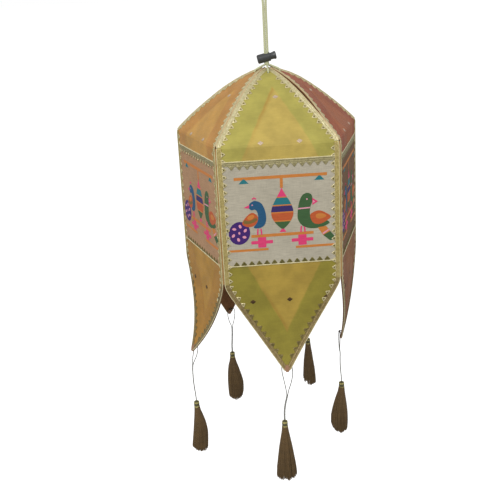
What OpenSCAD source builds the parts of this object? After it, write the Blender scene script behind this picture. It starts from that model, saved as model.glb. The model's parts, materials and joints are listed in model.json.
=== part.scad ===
// Folding cloth lantern: five stiff cloth-faced panels in a ring, each with a point below that
// carries a tassel, and a flap above that is drawn in to the hanging cord under a cord lock.
// The origin is the inside top of the cord's hanging loop. The front panel faces -Y.

/* [Walls] */
// Width of a panel from corner to corner
panel_w = 150; // [145:1:160]
// Height of a wall between its two shoulders
wall_h = 175; // [170:1:200]
// Length of the point below a wall
point_len = 121; // [110:1:130]
// Height of the printed band
band_h = 133; // [125:1:138]
// Height of plain cloth between the top shoulder and the band
band_drop = 18; // [14:1:24]
// Thickness of a card with its lining
card_t = 1.5; // [1.2:0.1:1.6]
// Bare width left at each side edge, where the hinge tape shows
edge_gap = 2; // [2:0.5:3]
// Half width of the blunt end of a point
point_end = 2.5; // [2:0.5:4]

/* [Flaps] */
// Length of a flap along its curve
flap_len = 128; // [124:1:130]
// Lean of a flap at the crease, from upright
flap_lean = 42; // [41:1:44]
// Lean of a flap at its tip, from upright
flap_lean_tip = 74; // [70:1:76]
// Distance along a flap from the crease to its cord hole
hole_at = 115; // [110:1:118]
// Diameter of the cord hole
hole_d = 3.8; // [3.6:0.1:4.2]

/* [Cloth and lace] */
// Thickness of the facing cloth
cloth_t = 0.3; // [0.2:0.1:0.5]
// Thickness of the lace border
lace_t = 0.5; // [0.3:0.1:0.8]
// Width of the lace border without its teeth
lace_w = 5.5; // [4:0.5:7]
// Thickness of the hinge tape
tape_t = 0.4; // [0.3:0.1:0.6]
// Width of each leg of the hinge tape
tape_leg = 14; // [8:1:20]

/* [Cord and lock] */
// Drop from the hanging loop to the top shoulders
hang_drop = 194; // [190:1:198]
// Diameter of the hanging cord
cord_d = 3; // [2.5:0.1:3]
// Diameter of a draw strand
strand_d = 2.4; // [2:0.1:2.6]
// Diameter of the lock's barrel
lock_d = 11.5; // [11:0.1:12]
// Drop from the hanging loop to the middle of the lock
lock_drop = 101.5; // [100:0.5:102]
// Tilt of the lock, button end up
lock_tilt = 12; // [0:1:15]

/* [Tassels] */
// Length of a tassel with its head
tassel_len = 79; // [60:1:90]
// Diameter of a tassel's skirt at its widest
tassel_d = 26; // [18:1:28]
// Diameter of a tassel's cord
tassel_cord_d = 1.1; // [0.8:0.1:1.2]
// Height of a tassel's pivot above the end of its point
pivot_up = 8.5; // [7:0.5:10]

/* [Hidden] */

// Panels in turn, clockwise from above: front, left, back left, back right, right
sides = 5;
turn = 360 / sides;
apothem = panel_w / 2 / tan(turn / 2);
half_w = panel_w / 2 - edge_gap;
top_z = -hang_drop;
bottom_z = top_z - wall_h;
band_top_z = top_z - band_drop;

// How far the end of each panel's point curls outward
curl_out = [16, 26, 7, 7, -12];
curl_rows = 8;
curl_power = 1.5;
// Rounding of a wall's lower shoulders, and of its corners at the crease
shoulder_round = 8;
crease_round = 8;
crease_cut = 1;

// Hinge tape ends this far above the lower shoulder and below the upper one
tape_lift = 14;
tape_gap = 8;

// A flap starts this far up its curve, so that it clears the wall when it swings
flap_start = 1.7;
flap_rows = 10;
flap_power = 2.5;
flap_end = 2;
flap_round = 5;

// Face colours of the five panels: flap, band, point
flap_colours = ["#aba85c", "#c8963f", "#8f8a4a", "#9a7a3c", "#9b6048"];
band_colours = ["#a9a08c", "#a07f60", "#9a9078", "#8f7a5c", "#6e5638"];
point_colours = ["#8a863c", "#a07a3e", "#7a7a3a", "#8a6a34", "#7f5232"];

// Routes of the cords, as [x, y, z] points that a curve passes through
hang_route = [
    [-1.6, 0, -107], [-1.6, 0, -95], [-1.6, 0, -80], [-1.6, 0, -65], [-1.6, 0, -50],
    [-1.6, 0, -38], [-2.2, 0, -28], [-4.2, 0, -17], [-6.2, 0, -8], [-5.6, 0, -2],
    [-3.2, 0, 0.7], [0, 0, 1.5], [3.2, 0, 0.7], [5.6, 0, -2], [6.2, 0, -8],
    [4.2, 0, -17], [2.2, 0, -28], [1.6, 0, -38], [1.6, 0, -50], [1.6, 0, -65],
    [1.6, 0, -80], [1.6, 0, -95], [1.6, 0, -107]
];
// One draw strand, as [0, outward, z] points
strand_route = [
    [0, 2.6, -110.6], [0, 5.6, -111.6], [0, 9.4, -113.2], [0, 13, -114.6],
    [0, 15.6, -116], [0, 16.8, -118.2], [0, 16, -121]
];
// Each tassel's cord loops round the end of its point, then runs down doubled to the head.
// Both are [sideways, outward, z] points from the pivot.
front_loop = [
    [1.8, 0, -36], [4.4, 0, -28], [6.6, 0, -19], [7.3, 0, -11], [6.7, 0, -3.5],
    [5.4, 0, -0.6], [2.5, 0, 0], [-2.5, 0, 0], [-5.4, 0, -0.6], [-6.7, 0, -3.5],
    [-6.4, 0, -11], [-5, 0, -19], [-3.4, 0, -28], [-2.2, 0, -36]
];
left_loop = [
    [1.2, 7, -27], [4.2, 5.4, -20], [6.5, 2.6, -12], [6.7, 0.4, -3.5], [5.4, 0, -0.6],
    [2.5, 0, 0], [-2.5, 0, 0], [-5.4, 0, -0.6], [-6.7, 0.4, -3.5], [-6.5, 2.6, -12],
    [-4.2, 5.4, -20], [-1.2, 7, -27]
];
side_loop = [
    [1.4, 0, -27], [4.6, 0, -19], [6.7, 0, -10], [6.7, 0, -3.5], [5.4, 0, -0.6],
    [2.5, 0, 0], [-2.5, 0, 0], [-5.4, 0, -0.6], [-6.7, 0, -3.5], [-6.7, 0, -10],
    [-4.6, 0, -19], [-1.4, 0, -27]
];
front_leg = [
    [-0.8, 0, -44], [-2, 0, -50], [-3.6, 0, -57], [-5, 0, -66], [-5.4, 0, -74],
    [-5.4, 0, -82]
];
left_leg = [
    [0, 7.8, -34], [0.4, 8.2, -44], [0.2, 8, -54], [0, 7.4, -64], [0, 6.4, -75],
    [0, 6, -85]
];
back_left_leg = [
    [0.2, 0, -34], [0.8, 0, -43], [1.6, 0, -52], [2.4, 0, -61], [2.6, 0, -71]
];
back_right_leg = [
    [1, 0, -32], [2.8, 0, -38], [5.4, 0, -45], [7.6, 0, -52], [8.4, 0, -61]
];
right_leg = [
    [0, 0.8, -33], [0.4, 0.6, -43], [0.8, 0.6, -52], [0.4, 1.2, -62], [0, 2, -71],
    [0, 2.2, -79]
];
tassel_loops = [front_loop, left_loop, side_loop, side_loop, side_loop];
tassel_legs = [front_leg, left_leg, back_left_leg, back_right_leg, right_leg];
// How much longer than tassel_len each tassel is, and how far the cord goes into its head
tassel_extra = [7, -2, 0, 0, 0];
cord_in_head = 2;
// A tassel's swing each way, the drop of its loop's shoulders, and the cord's gap at the card
tassel_swing = 30;
loop_side = 3.5;
swing_gap = 0.3;

// Cord lock, along its own axis from the cord
barrel_left = -12;
barrel_right = 5;
barrel_wall = 1.2;
lock_bore_r = 3.5;
plunger_clear = 0.15;
plunger_end = -4.6;
button_start = 8.2;
button_end = 12.6;
lock_travel = 3;
slot_half_y = 1.8;

// ---- Outlines and curves ----

// Soft corner: 0 at s = 0, then a straight slope; r is the rounding
function soft(s, r) = sqrt(s * s + r * r) - r;

function point_half(s) =
    half_w - (half_w - point_end) * soft(s, shoulder_round) / soft(point_len, shoulder_round);

function flap_half(s) =
    half_w - crease_cut * pow(max(0, 1 - s / crease_round), 2)
    - (half_w - flap_end) * soft(s, flap_round) / soft(flap_len, flap_round);

function wall_half(t) = half_w - crease_cut * pow(max(0, 1 - t / crease_round), 2);

// A row is [outward, z, normal outward, normal z, half width]
function wall_rows() =
    [for (t = [0, crease_round / 2, crease_round]) [apothem, top_z - t, 1, 0, wall_half(t)]];

function curl_angle(k, x) = 180 / PI * (1 + curl_power) * curl_out[k] / point_len * pow(x, curl_power);

function point_rows(k) =
    let (step = point_len / curl_rows)
    [for (i = 0, y = apothem, z = bottom_z;
          i <= curl_rows;
          y = y + step * sin(curl_angle(k, (i + 0.5) / curl_rows)),
          z = z - step * cos(curl_angle(k, (i + 0.5) / curl_rows)),
          i = i + 1)
        [y, z, cos(curl_angle(k, i / curl_rows)), sin(curl_angle(k, i / curl_rows)),
         point_half(i * step)]];

function flap_angle(s) =
    flap_lean + (flap_lean_tip - flap_lean) * pow(s / flap_len, flap_power);

// The flap's curve from its start up to its tip
function flap_curve() =
    let (step = (flap_len - flap_start) / flap_rows)
    [for (i = 0, y = apothem - flap_start * sin(flap_lean), z = top_z + flap_start * cos(flap_lean);
          i <= flap_rows;
          y = y - step * sin(flap_angle(flap_start + (i + 0.5) * step)),
          z = z + step * cos(flap_angle(flap_start + (i + 0.5) * step)),
          i = i + 1)
        let (s = flap_start + i * step)
        [y, z, cos(flap_angle(s)), sin(flap_angle(s)), flap_half(s)]];

// Rows run downward, so that every sheet has its faces the same way round
function flap_down() = let (c = flap_curve()) [for (i = [flap_rows:-1:0]) c[i]];

// Point on the flap's curve at a distance along it
function flap_place(s) =
    let (c = flap_curve(), step = (flap_len - flap_start) / flap_rows, x = (s - flap_start) / step,
         i = floor(x))
    c[i] + (x - i) * (c[i + 1] - c[i]);

function whole(rows) = [for (r = rows) [r[0], r[1], r[2], r[3], -r[4], r[4]]];
function border(rows, side) =
    [for (r = rows)
        side > 0 ? [r[0], r[1], r[2], r[3], r[4] - lace_w, r[4]]
                 : [r[0], r[1], r[2], r[3], -r[4], lace_w - r[4]]];
// The rows that have room for a border down each edge
function wide_enough(rows) = [for (r = rows) if (r[4] > lace_w) r];

// Curve through the points, with n steps between each pair
function bend(a, b, c, d, t) =
    0.5 * (2 * b + (c - a) * t + (2 * a - 5 * b + 4 * c - d) * t * t
           + (3 * b - a - 3 * c + d) * t * t * t);
function smooth(p, n) =
    let (m = len(p) - 1)
    [for (i = [0:m - 1], j = [0:n - 1])
        bend(p[max(i - 1, 0)], p[i], p[i + 1], p[min(i + 2, m)], j / n),
     p[m]];

function unit(v) = v / norm(v);
function along(p, i) = unit(p[min(i + 1, len(p) - 1)] - p[max(i - 1, 0)]);

// ---- Solids ----

// Thin solid over the rows, between two distances from their surface
module sheet(rows, near, far) {
    n = len(rows);
    points = [for (r = rows, q = [[4, near], [5, near], [5, far], [4, far]])
        [r[q[0]], -(r[0] + q[1] * r[2]), r[1] + q[1] * r[3]]];
    skin = [for (i = [0:n - 2], j = [0:3])
        let (a = 4 * i + j, b = 4 * i + (j + 1) % 4)
        each [[a, b + 4, b], [a, a + 4, b + 4]]];
    polyhedron(points, concat([[0, 1, 2, 3]], skin, [[4 * n - 1, 4 * n - 2, 4 * n - 3, 4 * n - 4]]));
}

// Round tube along a path that stays close to one upright plane, whose normal is side
module tube(path, r, facets, side) {
    n = len(path);
    points = [for (i = [0:n - 1], j = [0:facets - 1])
        let (t = along(path, i), u = unit(cross(t, side)), v = cross(u, t))
        path[i] + r * (cos(360 * j / facets) * u + sin(360 * j / facets) * v)];
    skin = [for (i = [0:n - 2], j = [0:facets - 1])
        let (a = facets * i + j, b = facets * i + (j + 1) % facets)
        each [[a, b, b + facets], [a, b + facets, a + facets]]];
    polyhedron(points, concat(
        [[for (j = [facets - 1:-1:0]) j]], skin, [[for (j = [0:facets - 1]) facets * (n - 1) + j]]));
}

module on_panel(k) {
    rotate([0, 0, -turn * k]) children();
}

// ---- Panels ----

module wall_card(k) {
    color("#5a4230") on_panel(k)
        sheet(whole(concat(wall_rows(), point_rows(k))), -card_t, 0);
}

module band_cloth(k) {
    color(band_colours[k]) on_panel(k)
        translate([-half_w, -apothem - cloth_t, band_top_z - band_h]) cube([2 * half_w, cloth_t, band_h]);
}

module point_cloth(k) {
    band_bottom = [apothem, band_top_z - band_h, 1, 0, half_w];
    color(point_colours[k]) on_panel(k)
        sheet(whole(concat([band_bottom], point_rows(k))), 0, cloth_t);
}

module wall_lace(k) {
    rows = wide_enough(concat(wall_rows(), point_rows(k)));
    inner = half_w - lace_w;
    color("#c8bb8e") on_panel(k) {
        for (side = [-1, 1]) sheet(border(rows, side), cloth_t, cloth_t + lace_t);
        for (z = [band_top_z - lace_w, band_top_z - band_h])
            translate([-inner, -apothem - cloth_t - lace_t, z]) cube([2 * inner, lace_t, lace_w]);
    }
}

module flap_card(k) {
    at = flap_place(hole_at);
    color("#5a4230") on_panel(k)
        difference() {
            sheet(whole(flap_down()), -card_t, 0);
            strand_hole(at);
        }
}

module flap_cloth(k) {
    at = flap_place(hole_at);
    color(flap_colours[k]) on_panel(k)
        difference() {
            sheet(whole(flap_down()), 0, cloth_t);
            strand_hole(at);
        }
}

// Punched hole through a flap, square to its surface
module strand_hole(at) {
    translate([0, -at[0], at[1]]) rotate([90 - atan2(at[3], at[2]), 0, 0])
        cylinder(d = hole_d, h = 8, center = true, $fn = 24);
}

module flap_lace(k) {
    rows = wide_enough(flap_down());
    color("#c8bb8e") on_panel(k)
        for (side = [-1, 1]) sheet(border(rows, side), cloth_t, cloth_t + lace_t);
}

// Folded tape inside the corner after panel k, over the upright height of the walls
module hinge_tape(k) {
    near = apothem - card_t;
    far = near - tape_t;
    mitre = tan(turn / 2);
    leg_end = half_w - tape_leg;
    color("#a8703c") on_panel(k) translate([0, 0, bottom_z + tape_lift])
        linear_extrude(wall_h - tape_lift - tape_gap) polygon([
            [-leg_end, -near], [-near * mitre, -near], spin([leg_end, -near]),
            spin([leg_end, -far]), [-far * mitre, -far], [-leg_end, -far]
        ]);
}

// Point on a panel, as it lies on the next one
function spin(p) = [p[0] * cos(turn) + p[1] * sin(turn), p[1] * cos(turn) - p[0] * sin(turn)];

// ---- Tassels ----

// Where the tassel's cord crosses behind the end of a point. It stays so far behind the card
// that the loop's shoulders pass beside the point when the tassel swings outward.
function pivot(k) =
    let (rows = point_rows(k), last = rows[curl_rows],
         clear = max(0, loop_side * sin(tassel_swing - curl_angle(k, 1))) + swing_gap,
         back = card_t + tassel_cord_d / 2 + clear)
    [last[0] - pivot_up * last[3] - back * last[2], last[1] + pivot_up * last[2] - back * last[3]];

module at_pivot(k) {
    on_panel(k) translate([0, -pivot(k)[0], pivot(k)[1]]) children();
}

module tassel_cord(k) {
    leg = tassel_legs[k];
    beside = [tassel_cord_d / 2 + 0.05, 0, 0];
    points = concat(
        [for (i = [len(leg) - 1:-1:0]) leg[i] + beside], tassel_loops[k],
        [for (p = leg) p - beside]);
    route = [for (p = points) [p[0], -p[1], p[2]]];
    color("#5c5c48") at_pivot(k) tube(smooth(route, 2), tassel_cord_d / 2, 8, [0, 1, 0]);
}

module tassel(k) {
    head_r = 3.5;
    length = tassel_len + tassel_extra[k];
    leg = tassel_legs[k];
    end = leg[len(leg) - 1];
    color("#564530") at_pivot(k) translate([end[0], -end[1], end[2] + cord_in_head])
        rotate_extrude($fn = 32) polygon([
            [0, -2], [1.6, -2], [head_r - 0.5, -3.6], [head_r, -6], [head_r, -10],
            [head_r - 0.3, -12], [head_r + 0.4, -14],
            [tassel_d / 2 - 0.6, -length + 14], [tassel_d / 2, -length + 6],
            [tassel_d / 2 - 2.5, -length - 0.5], [0, -length - 2]
        ]);
}

// ---- Cord and lock ----

module hang_cord() {
    color("#c9cba8") tube(smooth(hang_route, 2), cord_d / 2, 8, [0, 1, 0]);
}

module gather_knot() {
    knot_top = hang_route[0][2];
    color("#c9cba8") translate([0, 0, knot_top]) rotate_extrude($fn = 32)
        polygon([[0, 0], [2.6, 0], [3.2, -1.2], [3.2, -2], [2.4, -3.6], [1.4, -4.6], [0, -4.8]]);
}

module draw_strands() {
    route = smooth([for (p = strand_route) [0, -p[1], p[2]]], 2);
    end = route[len(route) - 1];
    knot_r = 2.4;
    color("#d0d0b0") for (k = [0:sides - 1]) on_panel(k) {
        tube(route, strand_d / 2, 8, [1, 0, 0]);
        translate(end + [0, 0.4, -knot_r + 0.6]) sphere(knot_r, $fn = 24);
    }
}

module at_lock() {
    translate([0, 0, -lock_drop]) rotate([0, -lock_tilt, 0]) children();
}

// Solid of revolution along the lock's axis, from an outline of [x, r] points
module turned(outline) {
    rotate([0, 90, 0]) rotate_extrude($fn = 48) polygon([for (p = outline) [p[1], p[0]]]);
}

module lock_body() {
    r = lock_d / 2;
    bore_r = r - barrel_wall;
    color("#3f4142") difference() {
        at_lock() turned([
            [barrel_left, 0], [barrel_left, r - 1.5], [barrel_left + 0.5, r - 0.5],
            [barrel_left + 1.5, r], [barrel_right - 0.6, r], [barrel_right, r - 0.6],
            [barrel_right, bore_r], [barrel_left + barrel_wall, bore_r], [barrel_left + barrel_wall, 0]
        ]);
        translate([0, 0, -lock_drop]) cylinder(r = lock_bore_r, h = 3 * lock_d, center = true, $fn = 48);
    }
}

module lock_button() {
    r = lock_d / 2 - barrel_wall - plunger_clear;
    color("#3a3c3e") at_lock() difference() {
        turned([
            [plunger_end, 0], [plunger_end, r], [button_start - 1, r], [button_start, 4.4],
            [button_end - 1.2, 5.2], [button_end - 0.3, 4.7], [button_end, 3.6], [button_end, 0]
        ]);
        // Slot for the cord, longer than the cord by the button's travel
        rotate([0, lock_tilt, 0])
            translate([-lock_bore_r, -slot_half_y, -lock_d])
                cube([2 * lock_bore_r + lock_travel, 2 * slot_half_y, 2 * lock_d]);
    }
}

module lock_spring() {
    wire_r = 0.35;
    coil_r = 2.9;
    turns = 4;
    steps = 14;
    start = barrel_left + barrel_wall + wire_r + 0.05;
    length = plunger_end - wire_r - 0.05 - start;
    path = [for (i = [0:turns * steps])
        [start + length * i / (turns * steps), coil_r * cos(360 * i / steps), coil_r * sin(360 * i / steps)]];
    color("silver") at_lock() tube(path, wire_r, 6, [1, 0, 0]);
}

wall_card(0);  // front_wall_card
band_cloth(0);  // front_band_cloth
point_cloth(0);  // front_point_cloth
wall_lace(0);  // front_wall_lace
flap_card(0);  // front_flap_card
flap_cloth(0);  // front_flap_cloth
flap_lace(0);  // front_flap_lace
tassel_cord(0);  // front_tassel_cord
tassel(0);  // front_tassel
wall_card(1);  // left_wall_card
band_cloth(1);  // left_band_cloth
point_cloth(1);  // left_point_cloth
wall_lace(1);  // left_wall_lace
flap_card(1);  // left_flap_card
flap_cloth(1);  // left_flap_cloth
flap_lace(1);  // left_flap_lace
tassel_cord(1);  // left_tassel_cord
tassel(1);  // left_tassel
wall_card(2);  // back_left_wall_card
band_cloth(2);  // back_left_band_cloth
point_cloth(2);  // back_left_point_cloth
wall_lace(2);  // back_left_wall_lace
flap_card(2);  // back_left_flap_card
flap_cloth(2);  // back_left_flap_cloth
flap_lace(2);  // back_left_flap_lace
tassel_cord(2);  // back_left_tassel_cord
tassel(2);  // back_left_tassel
wall_card(3);  // back_right_wall_card
band_cloth(3);  // back_right_band_cloth
point_cloth(3);  // back_right_point_cloth
wall_lace(3);  // back_right_wall_lace
flap_card(3);  // back_right_flap_card
flap_cloth(3);  // back_right_flap_cloth
flap_lace(3);  // back_right_flap_lace
tassel_cord(3);  // back_right_tassel_cord
tassel(3);  // back_right_tassel
wall_card(4);  // right_wall_card
band_cloth(4);  // right_band_cloth
point_cloth(4);  // right_point_cloth
wall_lace(4);  // right_wall_lace
flap_card(4);  // right_flap_card
flap_cloth(4);  // right_flap_cloth
flap_lace(4);  // right_flap_lace
tassel_cord(4);  // right_tassel_cord
tassel(4);  // right_tassel
hinge_tape(0);  // front_left_hinge_tape
hinge_tape(1);  // side_left_hinge_tape
hinge_tape(2);  // back_seam_tape
hinge_tape(3);  // side_right_hinge_tape
hinge_tape(4);  // front_right_hinge_tape
hang_cord();
gather_knot();
draw_strands();
lock_body();
lock_button();
lock_spring();
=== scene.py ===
"""Looks of a folding cloth lantern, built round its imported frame. Lengths are in metres."""

import bisect
import json
import math
import random

import bmesh
import bpy
from mathutils import Matrix, Vector, geometry, noise


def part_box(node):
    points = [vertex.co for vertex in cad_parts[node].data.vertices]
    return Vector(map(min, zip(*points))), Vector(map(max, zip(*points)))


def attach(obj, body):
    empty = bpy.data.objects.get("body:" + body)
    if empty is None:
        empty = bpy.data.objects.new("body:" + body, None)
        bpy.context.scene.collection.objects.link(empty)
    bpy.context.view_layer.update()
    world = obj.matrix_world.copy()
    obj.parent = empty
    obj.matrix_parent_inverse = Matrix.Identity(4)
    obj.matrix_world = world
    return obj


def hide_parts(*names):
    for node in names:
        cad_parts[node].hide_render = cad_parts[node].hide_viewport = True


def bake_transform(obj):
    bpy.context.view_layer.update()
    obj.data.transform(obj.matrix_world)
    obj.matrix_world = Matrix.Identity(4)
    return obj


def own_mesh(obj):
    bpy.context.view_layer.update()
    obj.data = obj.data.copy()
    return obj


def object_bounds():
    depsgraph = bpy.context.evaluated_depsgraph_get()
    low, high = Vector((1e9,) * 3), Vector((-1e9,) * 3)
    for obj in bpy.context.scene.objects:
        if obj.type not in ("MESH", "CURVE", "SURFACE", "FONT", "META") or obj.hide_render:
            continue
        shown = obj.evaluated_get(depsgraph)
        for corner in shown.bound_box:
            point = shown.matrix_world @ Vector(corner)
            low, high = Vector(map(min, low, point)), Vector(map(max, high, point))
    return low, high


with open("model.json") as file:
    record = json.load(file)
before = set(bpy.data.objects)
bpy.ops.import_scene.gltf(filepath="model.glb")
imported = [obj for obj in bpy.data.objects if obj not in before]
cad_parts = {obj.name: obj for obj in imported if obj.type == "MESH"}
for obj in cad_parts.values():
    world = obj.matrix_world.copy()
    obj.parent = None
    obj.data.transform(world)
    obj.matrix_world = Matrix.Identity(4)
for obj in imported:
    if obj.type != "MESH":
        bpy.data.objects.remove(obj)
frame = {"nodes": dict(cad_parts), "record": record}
cad_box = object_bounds()

MM = 0.001
JOINTS = {j["name"]: j for j in frame["record"]["behaviour"]["joints"]}

# ---- Dimensions, read from the frame where it holds them ----

PANELS = ("front", "left", "back_left", "back_right", "right")
TURN = 2 * math.pi / len(PANELS)
BAND_LOW, BAND_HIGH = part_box("front_band_cloth")
CARD_LOW, CARD_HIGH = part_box("front_wall_card")
HALF_W = BAND_HIGH[0]
TOP_Z = CARD_HIGH[2]
APOTHEM = -JOINTS["front_flap_open"]["pos_m"][1]
BAND_TOP = BAND_HIGH[2] - TOP_Z
BAND_BOTTOM = BAND_LOW[2] - TOP_Z
BAND_H = BAND_TOP - BAND_BOTTOM
WALL_H = 175 * MM
POINT_LEN = 121 * MM
FLAP_LEN = 128 * MM
CARD_T = 1.5 * MM
CLOTH_T = 0.3 * MM
LACE_W = 5.5 * MM
HOLE_AT = 115 * MM
HOLE_R = 1.9 * MM

# How far the end of each panel's point curls outward
CURL = (16 * MM, 26 * MM, 7 * MM, 7 * MM, -12 * MM)
CURL_POWER = 1.5
FLAP_LEAN, FLAP_LEAN_TIP, FLAP_POWER = 42, 74, 2.5

# Routes of the cords, in millimetres, as the solids have them
HANG_ROUTE = (
    (-1.6, 0, -107), (-1.6, 0, -95), (-1.6, 0, -80), (-1.6, 0, -65), (-1.6, 0, -50),
    (-1.6, 0, -38), (-2.2, 0, -28), (-4.2, 0, -17), (-6.2, 0, -8), (-5.6, 0, -2),
    (-3.2, 0, 0.7), (0, 0, 1.5), (3.2, 0, 0.7), (5.6, 0, -2), (6.2, 0, -8),
    (4.2, 0, -17), (2.2, 0, -28), (1.6, 0, -38), (1.6, 0, -50), (1.6, 0, -65),
    (1.6, 0, -80), (1.6, 0, -95), (1.6, 0, -107),
)
STRAND_ROUTE = (
    (0, 2.6, -110.6), (0, 5.6, -111.6), (0, 9.4, -113.2), (0, 13, -114.6),
    (0, 15.6, -116), (0, 16.8, -118.2), (0, 16, -121),
)
# Each tassel's cord loops round the end of its point, then runs down doubled to the head
FRONT_LOOP = (
    (1.8, 0, -36), (4.4, 0, -28), (6.6, 0, -19), (7.3, 0, -11), (6.7, 0, -3.5),
    (5.4, 0, -0.6), (2.5, 0, 0), (-2.5, 0, 0), (-5.4, 0, -0.6), (-6.7, 0, -3.5),
    (-6.4, 0, -11), (-5, 0, -19), (-3.4, 0, -28), (-2.2, 0, -36),
)
LEFT_LOOP = (
    (1.2, 7, -27), (4.2, 5.4, -20), (6.5, 2.6, -12), (6.7, 0.4, -3.5), (5.4, 0, -0.6),
    (2.5, 0, 0), (-2.5, 0, 0), (-5.4, 0, -0.6), (-6.7, 0.4, -3.5), (-6.5, 2.6, -12),
    (-4.2, 5.4, -20), (-1.2, 7, -27),
)
SIDE_LOOP = (
    (1.4, 0, -27), (4.6, 0, -19), (6.7, 0, -10), (6.7, 0, -3.5), (5.4, 0, -0.6),
    (2.5, 0, 0), (-2.5, 0, 0), (-5.4, 0, -0.6), (-6.7, 0, -3.5), (-6.7, 0, -10),
    (-4.6, 0, -19), (-1.4, 0, -27),
)
FRONT_LEG = (
    (-0.8, 0, -44), (-2, 0, -50), (-3.6, 0, -57), (-5, 0, -66), (-5.4, 0, -74),
    (-5.4, 0, -82),
)
LEFT_LEG = (
    (0, 7.8, -34), (0.4, 8.2, -44), (0.2, 8, -54), (0, 7.4, -64), (0, 6.4, -75),
    (0, 6, -85),
)
BACK_LEFT_LEG = ((0.2, 0, -34), (0.8, 0, -43), (1.6, 0, -52), (2.4, 0, -61), (2.6, 0, -71))
BACK_RIGHT_LEG = ((1, 0, -32), (2.8, 0, -38), (5.4, 0, -45), (7.6, 0, -52), (8.4, 0, -61))
RIGHT_LEG = (
    (0, 0.8, -33), (0.4, 0.6, -43), (0.8, 0.6, -52), (0.4, 1.2, -62), (0, 2, -71),
    (0, 2.2, -79),
)
TASSEL_LOOPS = (FRONT_LOOP, LEFT_LOOP, SIDE_LOOP, SIDE_LOOP, SIDE_LOOP)
TASSEL_LEGS = (FRONT_LEG, LEFT_LEG, BACK_LEFT_LEG, BACK_RIGHT_LEG, RIGHT_LEG)
TASSEL_LENGTHS = (86 * MM, 77 * MM, 79 * MM, 79 * MM, 79 * MM)
# How far each tassel's cord goes into its head, in millimetres
CORD_IN_HEAD = 2
CORD_D = 3 * MM
STRAND_D = 2.4 * MM
LOCK_DROP = 101.5 * MM
LOCK_TILT = 12
SPRING_SPAN = (-10.75 * MM, -4.65 * MM)
SPRING_R = 2.9 * MM
TASSEL_CORD_D = 1.1 * MM


# ---- Curves and tubes ----

def smooth(points, steps):
    """Curve through the points, with that many steps between each pair."""
    last = len(points) - 1
    path = []
    for i in range(last):
        a, b, c, d = (points[max(0, min(last, i + n))] for n in (-1, 0, 1, 2))
        for j in range(steps):
            t = j / steps
            path.append(0.5 * (
                2 * b + (c - a) * t + (2 * a - 5 * b + 4 * c - d) * t ** 2
                + (3 * b - a - 3 * c + d) * t ** 3
            ))
    return path + [points[last]]


def lengths_of(path):
    """Distance along the path of each of its points."""
    along = [0.0]
    for a, b in zip(path, path[1:]):
        along.append(along[-1] + (b - a).length)
    return along


def spaced(path, step):
    """The path again, with points about one step apart."""
    along = lengths_of(path)
    count = max(2, round(along[-1] / step))
    points = []
    for i in range(count + 1):
        at = along[-1] * i / count
        j = min(len(path) - 2, max(0, bisect.bisect_right(along, at) - 1))
        share = (at - along[j]) / max(1e-9, along[j + 1] - along[j])
        points.append(path[j].lerp(path[j + 1], min(1.0, share)))
    return points


def carried_frames(path):
    """Two normals at each point of a path, turned as little as possible on the way."""
    last = len(path) - 1
    normal = None
    frames = []
    for i in range(last + 1):
        tangent = (path[min(i + 1, last)] - path[max(i - 1, 0)]).normalized()
        normal = tangent.orthogonal() if normal is None else normal
        normal = (normal - normal.dot(tangent) * tangent).normalized()
        frames.append((normal, tangent.cross(normal)))
    return frames


class Shape:
    """Points and faces of one piece while it's made. Each point has flat coordinates too."""

    def __init__(self):
        self.points, self.flat, self.faces, self.slots = [], [], [], []

    def point(self, place, flat=(0, 0, 0)):
        self.points.append(tuple(place))
        self.flat.append(tuple(flat) + (0,) * (3 - len(flat)))
        return len(self.points) - 1

    def face(self, corners, slot=0):
        self.faces.append(tuple(corners))
        self.slots.append(slot)

    def rings(self, rings, slot=0, closed=True):
        """Joins rings of point numbers by quads, and closes both ends."""
        for a, b in zip(rings, rings[1:]):
            count = len(a)
            for i in range(count):
                j = (i + 1) % count
                self.face((a[i], a[j], b[j], b[i]), slot)
        if closed:
            self.face(rings[0][::-1], slot)
            self.face(rings[-1], slot)

    def tube(self, path, radius, sides=8, relief=None, slot=0):
        """Tube along a path. relief(angle, distance) is a factor on its radius."""
        frames, along = carried_frames(path), lengths_of(path)
        rings = []
        for p, (u, v), d in zip(path, frames, along):
            ring = []
            for i in range(sides):
                angle = 2 * math.pi * i / sides
                r = radius(d / along[-1]) if callable(radius) else radius
                r *= relief(angle, d) if relief else 1
                ring.append(self.point(
                    p + r * (math.cos(angle) * u + math.sin(angle) * v), (d, angle * r, 0)))
            rings.append(ring)
        self.rings(rings, slot)

    def build(self, name, materials, sharp=40):
        """Makes the Blender object, with its faces outward and its sharp edges marked."""
        mesh = bpy.data.meshes.new(name)
        mesh.from_pydata(self.points, [], self.faces)
        for m in materials:
            mesh.materials.append(m)
        mesh.polygons.foreach_set("material_index", self.slots)
        mesh.polygons.foreach_set("use_smooth", [True] * len(self.faces))
        flat = mesh.attributes.new("flat", "FLOAT_VECTOR", "POINT")
        flat.data.foreach_set("vector", [x for p in self.flat for x in p])
        mesh.update()
        turn_outward(mesh)
        mesh.set_sharp_from_angle(angle=math.radians(sharp))
        piece = bpy.data.objects.new(name, mesh)
        bpy.context.scene.collection.objects.link(piece)
        return piece


def turn_outward(mesh):
    """Turns every face outward, each loose part by itself."""
    work = bmesh.new()
    work.from_mesh(mesh)
    bmesh.ops.recalc_face_normals(work, faces=work.faces)
    work.to_mesh(mesh)
    work.free()


def twist(plies, pitch, depth):
    """Relief of a cord laid up from round plies."""
    def relief(angle, distance):
        return 1 - depth + depth * abs(math.cos(plies / 2 * (angle - 2 * math.pi * distance / pitch)))
    return relief


def braid(carriers, pitch, depth):
    """Relief of a round braid."""
    def relief(angle, distance):
        turn = 2 * math.pi * distance / pitch
        return 1 + depth * math.sin(carriers / 2 * angle + turn) * math.sin(carriers / 2 * angle - turn)
    return relief


# ---- Panels ----

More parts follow.
